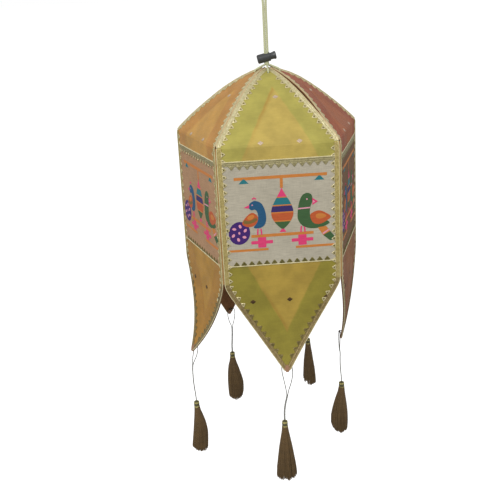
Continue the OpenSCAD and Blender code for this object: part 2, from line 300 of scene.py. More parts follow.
class Panel:
    """One side of the lantern: a flap above the crease, and a wall with its point below it.

    A place on it is (u, v): u across from the middle, v up from the crease, negative on the
    wall. off is the distance out from the card's face.
    """

    STEP = 1 * MM
    CREASE = 3 * MM

    def __init__(self, index, name):
        self.index, self.name = index, name
        self.spin = Matrix.Rotation(-TURN * index, 3, "Z")
        self.wall_body = "front_wall" if name == "front" else f"{name}_wall"
        self.flap_body = f"{name}_flap"
        self.tassel_body = f"{name}_tassel"
        self.down = self.curve(WALL_H + POINT_LEN, -1, self.wall_angle)
        self.up = self.curve(FLAP_LEN, 1, self.flap_angle)

    def wall_angle(self, t):
        share = max(0.0, t - WALL_H) / POINT_LEN
        return (1 + CURL_POWER) * CURL[self.index] / POINT_LEN * share ** CURL_POWER

    def flap_angle(self, s):
        share = max(0.0, s / FLAP_LEN)
        return math.radians(FLAP_LEAN + (FLAP_LEAN_TIP - FLAP_LEAN) * share ** FLAP_POWER)

    def curve(self, length, way, angle):
        """Rows of (out, z, normal out, normal z) at every step from the crease."""
        out, z = APOTHEM, TOP_Z
        rows = []
        for i in range(round(length / self.STEP) + 3):
            a = angle(i * self.STEP)
            rows.append((out, z, math.cos(a), math.sin(a)))
            middle = angle((i + 0.5) * self.STEP)
            out -= way * self.STEP * math.sin(middle)
            z += way * self.STEP * math.cos(middle)
        return rows

    def row(self, v):
        rows = self.up if v > 0 else self.down
        at = min(abs(v) / self.STEP, len(rows) - 1.001)
        i = int(at)
        return [a + (at - i) * (b - a) for a, b in zip(rows[i], rows[i + 1])]

    def soft_row(self, v):
        """The row at v, with the crease rounded."""
        if abs(v) >= self.CREASE:
            return self.row(v)
        spread = self.CREASE - abs(v)
        parts = [self.row(v + spread * n / 3) for n in range(-3, 4)]
        return [sum(p[i] for p in parts) / len(parts) for i in range(4)]

    def wave(self, u, v):
        """Slight waviness of the card, which everything on it shares."""
        if v > 0:
            at = Vector((u / 0.055, v / 0.05, 5.7 * self.index + 1.3))
            return 0.9 * MM * noise.noise(at) * min(1.0, v / 0.03)
        at = Vector((u / 0.11, v / 0.12, 3.1 * self.index + 8.2))
        return 0.5 * MM * noise.noise(at) * min(1.0, -v / 0.03) * (1 - (u / HALF_W) ** 4)

    def place(self, u, v, off=0.0):
        out, z, normal_out, normal_z = self.soft_row(v)
        off += self.wave(u, v)
        return self.spin @ Vector((u, -(out + off * normal_out), z + off * normal_z))

    def local(self, u, out, z):
        """Point by its distance out from the lantern's axis."""
        return self.spin @ Vector((u, -out, z))

    def half(self, v):
        """Half of the panel's width, with its rounded shoulders and its rounded ends."""
        crease = 1 * MM * max(0.0, 1 - abs(v) / (8 * MM)) ** 2
        if v > 0:
            slope = soft(v, 5 * MM) / soft(FLAP_LEN, 5 * MM)
            return round_off(HALF_W - crease - (HALF_W - 2 * MM) * slope, FLAP_LEN - v)
        s = max(0.0, -v - WALL_H)
        slope = soft(s, 8 * MM) / soft(POINT_LEN, 8 * MM)
        return round_off(HALF_W - crease - (HALF_W - 2.5 * MM) * slope, WALL_H + POINT_LEN + v)


def soft(s, r):
    """0 at s = 0, then a straight slope, with a rounding of r."""
    return math.sqrt(s * s + r * r) - r


def round_off(half, left):
    """Rounds the last few millimetres of an end."""
    end_r = 3 * MM
    share = max(0.0, 1 - left / end_r)
    return half * math.sqrt(max(0.004, 1 - share * share))


panels = [Panel(k, name) for k, name in enumerate(PANELS)]


# ---- Camera and cords ----

def make_camera():
    """Camera a little above the band, looking down at the lantern."""
    data = bpy.data.cameras.new("camera")
    data.sensor_width = 36
    data.lens = 58.1
    data.clip_start, data.clip_end = 0.05, 100
    camera = bpy.data.objects.new("camera", data)
    pan, tilt, roll = math.radians(3.37), math.radians(18.8), math.radians(-2.9)
    camera.matrix_world = (
        Matrix.Translation((-0.0954, -1.0514, -0.0011)) @ Matrix.Rotation(-pan, 4, "Z")
        @ Matrix.Rotation(-tilt, 4, "X") @ Matrix.Rotation(-roll, 4, "Y")
        @ Matrix.Rotation(math.pi / 2, 4, "X")
    )
    bpy.context.scene.collection.objects.link(camera)
    bpy.context.scene.camera = camera


make_camera()


# ---- Materials ----

def linear(rgb):
    """Linear colour of an sRGB one from 0 to 255."""
    def channel(c):
        c /= 255
        return c / 12.92 if c <= 0.04045 else ((c + 0.055) / 1.055) ** 2.4
    return (*map(channel, rgb), 1.0)


class Finish:
    """A material's nodes, with a short call for each kind that is used."""

    def __init__(self, name, **settings):
        self.material = bpy.data.materials.new(name)
        self.material.use_nodes = True
        self.tree = self.material.node_tree
        self.shader = self.tree.nodes["Principled BSDF"]
        for socket, value in settings.items():
            self.shader.inputs[socket.replace("_", " ")].default_value = value

    def node(self, kind, *inputs, **settings):
        """A node with its inputs in order, each a value or another node's output."""
        made = self.tree.nodes.new(kind)
        for key, value in settings.items():
            setattr(made, key, value)
        for socket, value in zip(made.inputs, inputs):
            self.set(socket, value)
        return made

    def set(self, socket, value):
        if isinstance(value, bpy.types.NodeSocket):
            self.tree.links.new(value, socket)
        elif value is not None:
            socket.default_value = value

    def math(self, operation, *inputs):
        return self.node("ShaderNodeMath", *inputs, operation=operation).outputs[0]

    def flat(self, across=1.0, along=1.0):
        """The piece's flat coordinates, scaled."""
        read = self.node("ShaderNodeAttribute", attribute_name="flat")
        return self.scaled(read.outputs["Vector"], across, along, 1.0)

    def solid(self, x=1.0, y=1.0, z=1.0):
        """Coordinates in the piece's own space, scaled."""
        read = self.node("ShaderNodeTexCoord")
        return self.scaled(read.outputs["Object"], x, y, z)

    def scaled(self, vector, x, y, z):
        return self.node("ShaderNodeVectorMath", vector, (x, y, z), operation="MULTIPLY").outputs[0]

    def noise(self, vector, scale, detail=2.0, roughness=0.5):
        made = self.node("ShaderNodeTexNoise")
        self.set(made.inputs["Vector"], vector)
        made.inputs["Scale"].default_value = scale
        made.inputs["Detail"].default_value = detail
        made.inputs["Roughness"].default_value = roughness
        return made.outputs["Fac"]

    def ramp(self, value, low, high, to_low=0.0, to_high=1.0):
        """Maps low..high smoothly to to_low..to_high."""
        made = self.node(
            "ShaderNodeMapRange", value, low, high, to_low, to_high, interpolation_type="SMOOTHSTEP")
        return made.outputs[0]

    def mix(self, factor, a, b, blend="MIX"):
        made = self.node("ShaderNodeMix", data_type="RGBA", blend_type=blend)
        self.set(made.inputs[0], factor)
        self.set(made.inputs[6], a)
        self.set(made.inputs[7], b)
        return made.outputs[2]

    def colour(self, value):
        self.set(self.shader.inputs["Base Color"], value)

    def rough(self, value):
        self.set(self.shader.inputs["Roughness"], value)

    def bump(self, height, depth, strength=1.0):
        """Bump from a height of 0 to 1, that many metres deep."""
        made = self.node("ShaderNodeBump")
        made.inputs["Strength"].default_value = strength
        made.inputs["Distance"].default_value = depth
        self.set(made.inputs["Height"], height)
        self.set(self.shader.inputs["Normal"], made.outputs[0])

    def weave(self, pitch_u, pitch_v):
        """Plain weave from 0 to 1, with threads of those pitches."""
        parts = self.node("ShaderNodeSeparateXYZ", self.flat(math.pi / pitch_u, math.pi / pitch_v))
        over = self.math("SINE", parts.outputs[0])
        under = self.math("SINE", parts.outputs[1])
        return self.math("MULTIPLY_ADD", self.math("MULTIPLY", over, under), 0.5, 0.5)


def face_cloth(name, outer, inner, streak, way, base_at, tall, middle):
    """Fine cloth with a paler triangle let in. The triangle's base is at the row base_at."""
    base_half, streak_w = 47 * MM, 7 * MM
    f = Finish(name, Sheen_Weight=0.06, Sheen_Roughness=0.4, Specular_IOR_Level=0.3)
    at = f.node("ShaderNodeSeparateXYZ", f.flat())
    wander = f.math("MULTIPLY_ADD", f.noise(f.flat(), 90.0, 2.0), 3 * MM, -1.5 * MM)
    v = f.math("MULTIPLY", f.math("SUBTRACT", at.outputs[1], base_at), way)
    u = f.math("ADD", f.math("SUBTRACT", at.outputs[0], middle), wander)
    reach = f.math("MULTIPLY", f.math("SUBTRACT", 1.0, f.math("DIVIDE", v, tall)), base_half)
    depth = f.math("SUBTRACT", reach, f.math("ABSOLUTE", u))
    inside = f.ramp(depth, -1.6 * MM, 2.2 * MM)
    from_left = f.math("ADD", u, reach)
    near_left = f.math("MULTIPLY", f.ramp(from_left, 0.0, streak_w, 1.0, 0.0), inside)
    streaked = f.math("MULTIPLY", near_left, f.ramp(v, 0.2 * tall, 0.75 * tall, 0.25, 0.9))
    ground = f.mix(inside, linear(outer), linear(inner))
    ground = f.mix(streaked, ground, linear(streak))
    # Random lighter and darker patches: partly the cloth's uneven tone, partly painted sheen of the loose satin.
    blotch_and_sheen = f.ramp(f.noise(f.flat(), 38.0, 3.0, 0.55), 0.3, 0.7, 0.86, 1.1)
    slub = f.ramp(f.noise(f.flat(60, 900), 1.0, 2.0), 0.3, 0.75, 0.97, 1.04)
    ground = f.mix(1.0, ground, f.math("MULTIPLY", blotch_and_sheen, slub), "MULTIPLY")
    f.colour(ground)
    f.rough(f.ramp(f.noise(f.flat(), 25.0), 0.3, 0.7, 0.5, 0.66))
    threads = f.weave(0.42 * MM, 0.42 * MM)
    puckers = f.noise(f.flat(220, 160), 1.0, 3.0)
    f.bump(f.math("MULTIPLY_ADD", puckers, 2.2, threads), 0.12 * MM, 0.8)
    return f.material


def linen(name, ground):
    """Slubby linen of the band."""
    f = Finish(name, Sheen_Weight=0.06, Sheen_Roughness=0.5, Specular_IOR_Level=0.25)
    slub = f.noise(f.flat(75, 1300), 1.0, 2.0, 0.6)
    warp = f.noise(f.flat(1400, 70), 1.0, 2.0, 0.5)
    threads = f.weave(0.75 * MM, 0.75 * MM)
    tone = f.math("MULTIPLY", f.ramp(slub, 0.35, 0.75, 1.05, 0.82), f.ramp(warp, 0.3, 0.8, 1.03, 0.93))
    tone = f.math("MULTIPLY", tone, f.ramp(threads, 0.0, 1.0, 0.94, 1.03))
    patch = f.ramp(f.noise(f.flat(), 24.0, 3.0), 0.3, 0.7, 0.94, 1.05)
    f.colour(f.mix(1.0, linear(ground), f.math("MULTIPLY", tone, patch), "MULTIPLY"))
    f.rough(f.ramp(slub, 0.3, 0.7, 0.75, 0.9))
    f.bump(f.math("ADD", threads, f.math("MULTIPLY", slub, 1.4)), 0.16 * MM, 0.8)
    return f.material


def ink(name, rgb):
    """Print on the linen, whose weave shows through."""
    f = Finish(name, Sheen_Weight=0.05, Sheen_Roughness=0.5, Specular_IOR_Level=0.3)
    threads = f.weave(0.75 * MM, 0.75 * MM)
    worn = f.ramp(f.noise(f.flat(90, 900), 1.0, 3.0), 0.35, 0.8, 1.05, 0.86)
    tone = f.math("MULTIPLY", worn, f.ramp(threads, 0.0, 1.0, 0.93, 1.03))
    f.colour(f.mix(1.0, linear(rgb), tone, "MULTIPLY"))
    f.rough(f.ramp(threads, 0.0, 1.0, 0.7, 0.58))
    f.bump(threads, 0.12 * MM, 0.7)
    return f.material


def metal_thread(name, light, dark, metallic=0.55, pitch=0.5 * MM):
    """Flat metallic thread, laid in fine ribs across the piece."""
    f = Finish(name, Metallic=metallic, Specular_IOR_Level=0.5)
    ribs = f.node("ShaderNodeSeparateXYZ", f.flat(2 * math.pi / pitch, 1.0)).outputs[0]
    ribs = f.math("MULTIPLY_ADD", f.math("SINE", ribs), 0.5, 0.5)
    patch = f.noise(f.flat(), 260.0, 3.0, 0.6)
    share = f.math("MULTIPLY", f.ramp(patch, 0.35, 0.7), f.ramp(ribs, 0.0, 1.0, 1.0, 0.55))
    f.colour(f.mix(share, linear(light), linear(dark)))
    f.rough(f.ramp(patch, 0.3, 0.7, 0.3, 0.5))
    f.bump(ribs, 0.1 * MM, 0.8)
    return f.material


def thread(name, light, dark, pitch, rough=0.55, sheen=0.3):
    """Spun thread or braid: paler on its crowns, with fine fibres along it."""
    f = Finish(name, Sheen_Weight=sheen, Sheen_Roughness=0.4, Specular_IOR_Level=0.4)
    fibres = f.noise(f.flat(300, 5200), 1.0, 2.0)
    patch = f.noise(f.flat(1 / pitch, 1 / pitch), 1.0, 2.0)
    f.colour(f.mix(f.math("MULTIPLY", f.ramp(patch, 0.3, 0.7), f.ramp(fibres, 0.2, 0.8)),
                   linear(light), linear(dark)))
    f.rough(f.ramp(fibres, 0.3, 0.7, rough - 0.08, rough + 0.1))
    f.bump(fibres, 0.06 * MM, 0.7)
    return f.material


def lining(name, rgb):
    """Dull brown cloth glued on the inside of the card."""
    f = Finish(name, Specular_IOR_Level=0.2)
    threads = f.weave(0.6 * MM, 0.6 * MM)
    patch = f.ramp(f.noise(f.flat(), 30.0, 4.0, 0.6), 0.3, 0.7, 0.8, 1.15)
    f.colour(f.mix(1.0, linear(rgb), f.math("MULTIPLY", patch, f.ramp(threads, 0, 1, 0.9, 1.05)), "MULTIPLY"))
    f.rough(0.85)
    f.bump(threads, 0.12 * MM, 0.7)
    return f.material


def tape_cloth(name, rgb):
    """Twilled cotton tape."""
    f = Finish(name, Sheen_Weight=0.2, Specular_IOR_Level=0.3)
    parts = f.node("ShaderNodeSeparateXYZ", f.flat(1 / (0.9 * MM), 1 / (0.9 * MM)))
    twill = f.math("FRACT", f.math("ADD", parts.outputs[0], parts.outputs[1]))
    twill = f.ramp(f.math("ABSOLUTE", f.math("SUBTRACT", twill, 0.5)), 0.0, 0.5)
    patch = f.ramp(f.noise(f.flat(), 60.0, 3.0), 0.3, 0.7, 0.85, 1.1)
    f.colour(f.mix(1.0, linear(rgb), f.math("MULTIPLY", patch, f.ramp(twill, 0, 1, 0.9, 1.05)), "MULTIPLY"))
    f.rough(0.7)
    f.bump(twill, 0.15 * MM, 0.7)
    return f.material


def moulded_plastic(name, rgb):
    """Charcoal plastic with a spark-eroded grain and faint scuffs."""
    f = Finish(name, Specular_IOR_Level=0.5, Coat_Weight=0.08, Coat_Roughness=0.25)
    grain = f.noise(f.solid(), 3500.0, 2.0)
    scuff = f.ramp(f.noise(f.solid(1, 1, 4), 160.0, 4.0, 0.65), 0.5, 0.75, 0.0, 1.0)
    f.colour(f.mix(f.math("MULTIPLY", scuff, 0.5), linear(rgb), linear([c * 1.35 + 8 for c in rgb])))
    f.rough(f.ramp(scuff, 0.0, 1.0, 0.36, 0.5))
    f.bump(grain, 0.05 * MM, 0.5)
    return f.material


def wire(name):
    """Drawn steel wire."""
    f = Finish(name, Metallic=1.0)
    lines = f.noise(f.solid(900, 60, 60), 12.0, 2.0)
    f.colour(f.mix(lines, linear((150, 150, 152)), linear((190, 190, 194))))
    f.rough(f.ramp(lines, 0.2, 0.8, 0.22, 0.38))
    f.bump(lines, 0.02 * MM, 0.5)
    return f.material


# Colours of each panel: flap, its inner triangle, its streak; band; point, inner, streak. They are partly the
# cloth's own colours and partly painted shade: the right panel's colours are made darker, as painted shade.
FLAP_COLOURS = (
    ((176, 166, 82), (191, 167, 86), (176, 140, 62)),
    ((190, 138, 72), (196, 150, 78), (178, 122, 56)),
    ((146, 142, 76), (160, 146, 80), (146, 120, 60)),
    ((158, 124, 62), (168, 136, 70), (140, 100, 52)),
    ((162, 86, 52), (168, 96, 56), (144, 72, 44)),
)
# The right panel's dark brown band ground is painted shade.
BAND_COLOURS = ((190, 182, 162), (184, 144, 108), (172, 164, 142), (164, 144, 116), (124, 92, 64))
# The points are darker than their flaps: painted shade, as the points face down.
POINT_COLOURS = (
    ((148, 136, 52), (178, 150, 66), (160, 128, 52)),
    ((178, 130, 54), (186, 140, 58), (164, 112, 46)),
    ((132, 130, 60), (148, 132, 62), (132, 108, 52)),
    ((146, 112, 56), (156, 122, 60), (130, 92, 48)),
    ((144, 88, 46), (152, 96, 50), (124, 70, 40)),
)
INKS = {
    "orange": (206, 128, 58), "teal": (38, 120, 128), "pink": (226, 66, 118), "navy": (56, 44, 104),
    "rust": (194, 92, 48), "green": (64, 98, 58), "blue": (36, 88, 124), "plum": (66, 34, 110),
    "blush": (232, 158, 178), "olive": (128, 104, 52),
}

card_lining = lining("card_lining", (140, 98, 62))
lace_light = metal_thread("lace_light", (226, 214, 170), (176, 158, 104))
lace_ground = metal_thread("lace_ground", (204, 186, 120), (162, 142, 84), pitch=0.9 * MM)
lace_pale = metal_thread("lace_pale", (222, 212, 168), (182, 168, 118), pitch=0.9 * MM)
lace_dull = metal_thread("lace_dull", (182, 172, 128), (140, 130, 88), pitch=0.9 * MM)
# Darker copies of the lace for the point below the band: painted shade, because the point faces down. The teeth
# near the tip are darker still.
lace_worn = metal_thread("lace_worn", (166, 146, 98), (124, 104, 64), pitch=0.9 * MM)
lace_soft = metal_thread("lace_soft", (150, 132, 84), (104, 88, 48))
# Dark colour of the teeth's sunk centres. The teeth under the band use it whole, as painted shade.
lace_centre = metal_thread("lace_centre", (132, 122, 66), (98, 92, 50))
# One metallic motif thread in two copies: a pale one for the flaps as painted highlight, and a dark one for the
# points as painted shade.
motif_pale = metal_thread("motif_pale", (222, 200, 178), (172, 148, 120), pitch=0.7 * MM)
motif_dark = metal_thread("motif_dark", (98, 74, 44), (66, 48, 30), pitch=0.7 * MM)
piping_tan = thread("piping_tan", (212, 188, 142), (174, 148, 104), 1.2 * MM)
piping_cream = thread("piping_cream", (226, 216, 172), (186, 170, 116), 1.2 * MM)
tape = tape_cloth("hinge_tape", (190, 148, 88))
cord_cream = thread("cord_cream", (204, 206, 166), (172, 174, 132), 1.5 * MM, rough=0.5)
tassel_twine = thread("tassel_twine", (78, 76, 54), (48, 46, 32), 0.6 * MM)
tassel_silk = thread("tassel_silk", (112, 88, 52), (74, 56, 32), 2 * MM, rough=0.42, sheen=0.12)
# Darker copy of the tassel's silk for its solid middle: painted shade among the inner strands.
tassel_core = thread("tassel_core", (82, 63, 37), (62, 47, 28), 2 * MM, rough=0.7)
head_silk = thread("head_silk", (92, 88, 50), (54, 50, 28), 1 * MM, rough=0.45)
head_gold = metal_thread("head_gold", (198, 188, 122), (146, 134, 74), metallic=0.6, pitch=0.8 * MM)
fold_cloth = lining("fold_cloth", (172, 132, 104))
lock_plastic = moulded_plastic("lock_plastic", (60, 62, 63))
spring_wire = wire("spring_wire")
ink_of = {name: ink(f"ink_{name}", rgb) for name, rgb in INKS.items()}


# ---- Cords ----

def route_on(panel, points, out=0.0, z=0.0):
    """A route's points, in millimetres from a place on the panel's middle line."""
    return [panel.local(p[0] * MM, out + p[1] * MM, z + p[2] * MM) for p in points]


def make_hang_cord():
    """Cord through the lock and round the hanging loop. Both of its ends are in the knot."""
    path = spaced(smooth([Vector(p) * MM for p in HANG_ROUTE], 8), 0.45 * MM)
    shape = Shape()
    shape.tube(path, CORD_D / 2, 24, braid(8, 5 * MM, 0.07))
    cord = shape.build("hang_cord_braid", [cord_cream])
    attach(cord, "front_wall")
    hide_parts("hang_cord")


def make_tassel_cord(panel):
    """Loop round the end of a panel's point. Both of its ends are in the tassel's head."""
    at = JOINTS[f"{panel.name}_tassel_swing"]["pos_m"]
    beside, leg = TASSEL_CORD_D / 2 / MM + 0.05, TASSEL_LEGS[panel.index]
    route = [(x + beside, out, z) for x, out, z in reversed(leg)]
    route += TASSEL_LOOPS[panel.index]
    route += [(x - beside, out, z) for x, out, z in leg]
    points = route_on(panel, route, math.hypot(at[0], at[1]), at[2])
    path = spaced(smooth(points, 8), 0.5 * MM)
    shape = Shape()
    shape.tube(path, TASSEL_CORD_D / 2, 10, twist(2, 2.4 * MM, 0.22))
    cord = shape.build(f"{panel.name}_tassel_twine", [tassel_twine])
    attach(cord, panel.tassel_body)
    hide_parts(f"{panel.name}_tassel_cord")


def make_draw_strand(panel):
    """Strand from the knot under the lock to the hole in a flap, and the knot that holds it."""
    path = spaced(smooth(route_on(panel, STRAND_ROUTE), 8), 0.4 * MM)
    shape = Shape()
    shape.tube(path, STRAND_D / 2, 16, braid(6, 4 * MM, 0.07))
    strand = shape.build(f"{panel.name}_draw_strand", [cord_cream])
    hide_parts("draw_strands")
    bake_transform(strand)
    make_knot(panel, path[-1])


def make_knot(panel, end):
    """Overhand knot under a flap, with a short tail."""
    size, rope_r = 0.62 * MM, 0.95 * MM
    middle = end - Vector((0, 0, 1.4 * MM))
    turns = [2 * math.pi * i / 48 for i in range(49)]
    loop = [Vector((
        math.sin(t) + 2 * math.sin(2 * t), math.cos(t) - 2 * math.cos(2 * t), -1.4 * math.sin(3 * t)
    )) * size + middle for t in turns]
    tail = smooth([loop[-1], middle + Vector((0.8, 0.4, -2.6)) * MM, middle + Vector((1.6, 0.2, -5.5)) * MM], 6)
    shape = Shape()
    shape.tube(loop, rope_r, 10, braid(6, 4 * MM, 0.06))
    shape.tube(tail, rope_r, 10, braid(6, 4 * MM, 0.06))
    knot = shape.build(f"{panel.name}_strand_knot", [cord_cream])
    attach(knot, panel.flap_body)


def make_gather():
    """Whipping that binds the cord's two ends and the five strands together."""
    low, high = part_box("gather_knot")
    rope_r, turns, steps = 0.9 * MM, 3, 20
    top, bottom = high[2] - rope_r, low[2] + 1.3 * MM
    coil = []
    for i in range(turns * steps + 1):
        share, angle = i / (turns * steps), 2 * math.pi * i / steps
        coil.append(Vector((
            2.2 * MM * math.cos(angle), 2.2 * MM * math.sin(angle), top + (bottom - top) * share)))
    shape = Shape()
    shape.tube(coil, rope_r, 10, braid(6, 4 * MM, 0.06))
    core = [Vector((0, 0, high[2] + (low[2] - high[2]) * i / 8)) for i in range(9)]
    shape.tube(core, lambda share: 1.9 * MM * (1 - 0.5 * share ** 3), 14)
    gather = shape.build("gather_whipping", [cord_cream])
    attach(gather, "front_wall")
    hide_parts("gather_knot")


# ---- Boards and cloths ----

def closed_sheet(panel, name, rows, columns, low, high, materials, hole=None):
    """Closed sheet over a panel. rows are places v, columns are shares of its half width.

    hole is the row's place of a round hole on the middle line, with its edge rows and columns
    beside it.
    """
    shape = Shape()
    across, down = len(columns), len(rows)
    for off in (high, low):
        for v in rows:
            for c in columns:
                shape.point(panel.place(c * panel.half(v), v, off), (c * panel.half(v), v, off))

    def at(layer, i, j):
        return (layer * down + i) * across + j

    skip = set()
    if hole is not None:
        i0, j0 = rows.index(hole), columns.index(0)
        ring = ((-1, -1), (-1, 0), (-1, 1), (0, 1), (1, 1), (1, 0), (1, -1), (0, -1))
        skip = {(i0 + a, j0 + b) for a in (-1, 0) for b in (-1, 0)}
        for layer, off in enumerate((high, low)):
            for a, b in ring:
                r = HOLE_R / math.hypot(a, b)
                u, v = b * r, hole + a * r * (1 if rows[1] > rows[0] else -1)
                n = at(layer, i0 + a, j0 + b)
                shape.points[n], shape.flat[n] = tuple(panel.place(u, v, off)), (u, v, off)
        ring = [(i0 + a, j0 + b) for a, b in ring]
        for (i, j), (k, m) in zip(ring, ring[1:] + ring[:1]):
            shape.face((at(0, i, j), at(0, k, m), at(1, k, m), at(1, i, j)))
    for layer in (0, 1):
        for i in range(down - 1):
            for j in range(across - 1):
                if (i, j) not in skip:
                    shape.face((at(layer, i, j), at(layer, i, j + 1),
                                at(layer, i + 1, j + 1), at(layer, i + 1, j)))
    rim = [(0, j) for j in range(across)] + [(i, across - 1) for i in range(1, down)]
    rim += [(down - 1, j) for j in range(across - 2, -1, -1)] + [(i, 0) for i in range(down - 2, 0, -1)]
    for (i, j), (k, m) in zip(rim, rim[1:] + rim[:1]):
        shape.face((at(0, i, j), at(0, k, m), at(1, k, m), at(1, i, j)))
    used = sorted({n for f in shape.faces for n in f})
    renumber = {n: i for i, n in enumerate(used)}
    shape.points = [shape.points[n] for n in used]
    shape.flat = [shape.flat[n] for n in used]
    shape.faces = [tuple(renumber[n] for n in f) for f in shape.faces]
    return shape.build(name, materials)


def steps_between(start, end, step):
    """Evenly spaced values from start to end, about one step apart."""
    count = max(1, round(abs(end - start) / step))
    return [start + (end - start) * i / count for i in range(count + 1)]


def rows_down(start, end, step):
    """Rows of a wall, with more of them at the shoulders and at the tip."""
    rows = steps_between(start, end, step)
    tip = -WALL_H - POINT_LEN
    extra = [-1, -2, -4, -6, -8] + [(-WALL_H + d * MM) / MM for d in (2, 0, -2, -4, -6, -8, -11, -15)]
    rows += [v * MM for v in extra if end < v * MM < start]
    if abs(end - tip) < MM:
        rows += [tip + d * MM for d in (0.3, 0.8, 1.5, 2.4, 3.4)]
    rows = sorted(set(rows), reverse=True)
    return [v for v, w in zip(rows, rows[1:] + [-1]) if abs(v - w) > 0.05 * MM]


def flap_rows(start, step):
    """Rows of a flap, with the edge rows of its hole."""
    rows = steps_between(start, HOLE_AT - 2 * HOLE_R, step)
    rows += [HOLE_AT - HOLE_R, HOLE_AT, HOLE_AT + HOLE_R, HOLE_AT + 2 * HOLE_R]
    return rows + [FLAP_LEN - d * MM for d in (6.5, 4.5, 2.4, 1.5, 0.8, 0.3, 0.05)]


def columns(count):
    """Shares of the half width, with a column each side of the middle for the hole."""
    side = [0.2] + [0.2 + 0.8 * i / count for i in range(1, count + 1)]
    return [-c for c in reversed(side)] + [0] + side


def make_boards(panel):
    """Cards of a wall and of its flap, lined on the inside."""
    wall = closed_sheet(
        panel, f"{panel.name}_wall_board", rows_down(-0.5 * MM, -WALL_H - POINT_LEN, 7 * MM),
        columns(8), -CARD_T, 0, [card_lining])
    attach(wall, panel.wall_body)
    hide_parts(f"{panel.name}_wall_card")
    flap = closed_sheet(
        panel, f"{panel.name}_flap_board", flap_rows(1.7 * MM, 5 * MM), columns(8),
        -CARD_T, 0, [card_lining], hole=HOLE_AT)
    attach(flap, panel.flap_body)
    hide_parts(f"{panel.name}_flap_card")


def make_facings(panel):
    """Cloth on the flap, its foot below the crease, linen on the band, and cloth on the point."""
    k, name = panel.index, panel.name
    outer, inner, streak = FLAP_COLOURS[k]
    cloth = face_cloth(f"{name}_flap_cloth", outer, inner, streak, 1, BAND_TOP, 104 * MM, 2 * MM)
    foot = closed_sheet(
        panel, f"{name}_flap_facing_foot",
        steps_between(BAND_TOP, -4 * MM, 3 * MM) + steps_between(-3.2 * MM, 0, 0.8 * MM),
        columns(14), 0.02 * MM, CLOTH_T, [cloth])
    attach(foot, panel.wall_body)
    shape = Shape()
    half = HALF_W - 2 * MM
    line = [panel.place(x, 0, -0.3 * MM) for x in steps_between(-half, half, 6 * MM)]
    shape.tube(line, 0.5 * MM, 10)
    fold = shape.build(f"{name}_crease_fold", [cloth])
    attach(fold, panel.wall_body)
    flap = closed_sheet(
        panel, f"{name}_flap_facing", steps_between(0, 4 * MM, 0.8 * MM) + flap_rows(6 * MM, 3.5 * MM),
        columns(14), 0.02 * MM, CLOTH_T, [cloth], hole=HOLE_AT)
    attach(flap, panel.flap_body)
    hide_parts(f"{name}_flap_cloth")

    band = closed_sheet(
        panel, f"{name}_band_facing", steps_between(BAND_TOP, BAND_BOTTOM, 2.5 * MM), columns(48),
        0.02 * MM, CLOTH_T, [linen(f"{name}_band_cloth", BAND_COLOURS[k])])
    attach(band, panel.wall_body)
    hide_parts(f"{name}_band_cloth")

    outer, inner, streak = POINT_COLOURS[k]
    point = closed_sheet(
        panel, f"{name}_point_facing", rows_down(BAND_BOTTOM, -WALL_H - POINT_LEN, 3.5 * MM),
        columns(14), 0.02 * MM, CLOTH_T,
        [face_cloth(f"{name}_point_cloth", outer, inner, streak, -1, BAND_BOTTOM, 92 * MM, 3 * MM)])
    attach(point, panel.wall_body)
    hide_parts(f"{name}_point_cloth")


# ---- Lace and piping ----

class Border:
    """Line along an edge. A place on it is (d, w): d along it, w in from it."""

    def __init__(self, points, inside, proud=lambda share: 0.0):
        self.proud = proud
        self.points = [Vector(p) for p in points]
        self.along = lengths_of(self.points)
        self.length = self.along[-1]
        self.inside = Vector(inside)
        last = len(points) - 1
        self.normals = []
        for i, p in enumerate(self.points):
            tangent = self.points[min(i + 1, last)] - self.points[max(i - 1, 0)]
            normal = Vector((-tangent.y, tangent.x)).normalized()
            self.normals.append(normal if normal.dot(self.inside - p) > 0 else -normal)

    def at(self, d, w):
        d = min(max(d, 0.0), self.length)
        w -= self.proud(d / self.length)
        i = min(len(self.points) - 2, max(0, bisect.bisect_right(self.along, d) - 1))
        share = (d - self.along[i]) / (self.along[i + 1] - self.along[i])
        return self.points[i].lerp(self.points[i + 1], share) + w * self.normals[i].lerp(
            self.normals[i + 1], share)


def side_border(panel, side, start, end):
    """Edge of a panel on one side, from one row to another, and how far the lace hangs over it."""
    rows = steps_between(start, end, 1.5 * MM)
    closes = (panel.name, side) in (("front", -1), ("left", 1))

    def proud(share):
        if start < 0:
            return 0.8 * MM * max(0.0, 1 - 1.6 * share)
        return (1.1 * (1 - share) + (3.1 if closes else 0.6) * math.sin(math.pi * share ** 1.8)) * MM

    border = Border([(side * panel.half(v), v) for v in rows], (0, (start + end) / 2), proud)
    if start > 0:
        level = Vector((-side, 0))
        for i, v in enumerate(rows):
            share = min(1.0, (v - start) / (9 * MM))
            border.normals[i] = level.lerp(border.normals[i], share).normalized()
    return border


def kept_side(place, side):
    """The place, kept on its own side of the middle line."""
    return (side * max(0.0, side * place.x), place.y) if side else (place.x, place.y)


# Lace across its width: distance in from the edge and height, with three raised cords
HEADER = (
    (0.0, 0.1), (0.05, 0.5), (0.5, 0.85), (1.1, 0.85), (1.7, 0.5), (2.3, 0.45),
    (2.9, 0.75), (3.6, 0.75), (4.2, 0.45), (4.8, 0.7), (5.3, 0.55), (5.5, 0.1),
    (5.45, -0.1), (0.05, -0.1),
)
TOOTH_PITCH = 9.4 * MM
TOOTH_H = 5.6 * MM
TOOTH_HALF = 4.1 * MM


def lace_header(shape, panel, border, side, slot, first=0.0, last=None):
    """Ribbed strip along a border, or along a stretch of it."""
    rings = []
    for d in steps_between(first, last or border.length, 0.85 * MM):
        ring = []
        for w, h in HEADER:
            height = h * (1 + (0.16 * math.sin(2 * math.pi * d / (1.7 * MM) + 1.5 * w) if h > 0.6 else 0))
            u, v = kept_side(border.at(d, w * MM), side)
            ring.append(shape.point(panel.place(u, v, CLOTH_T + height * MM), (d, w * MM, 0)))
        rings.append(ring)
    shape.rings(rings, slot)


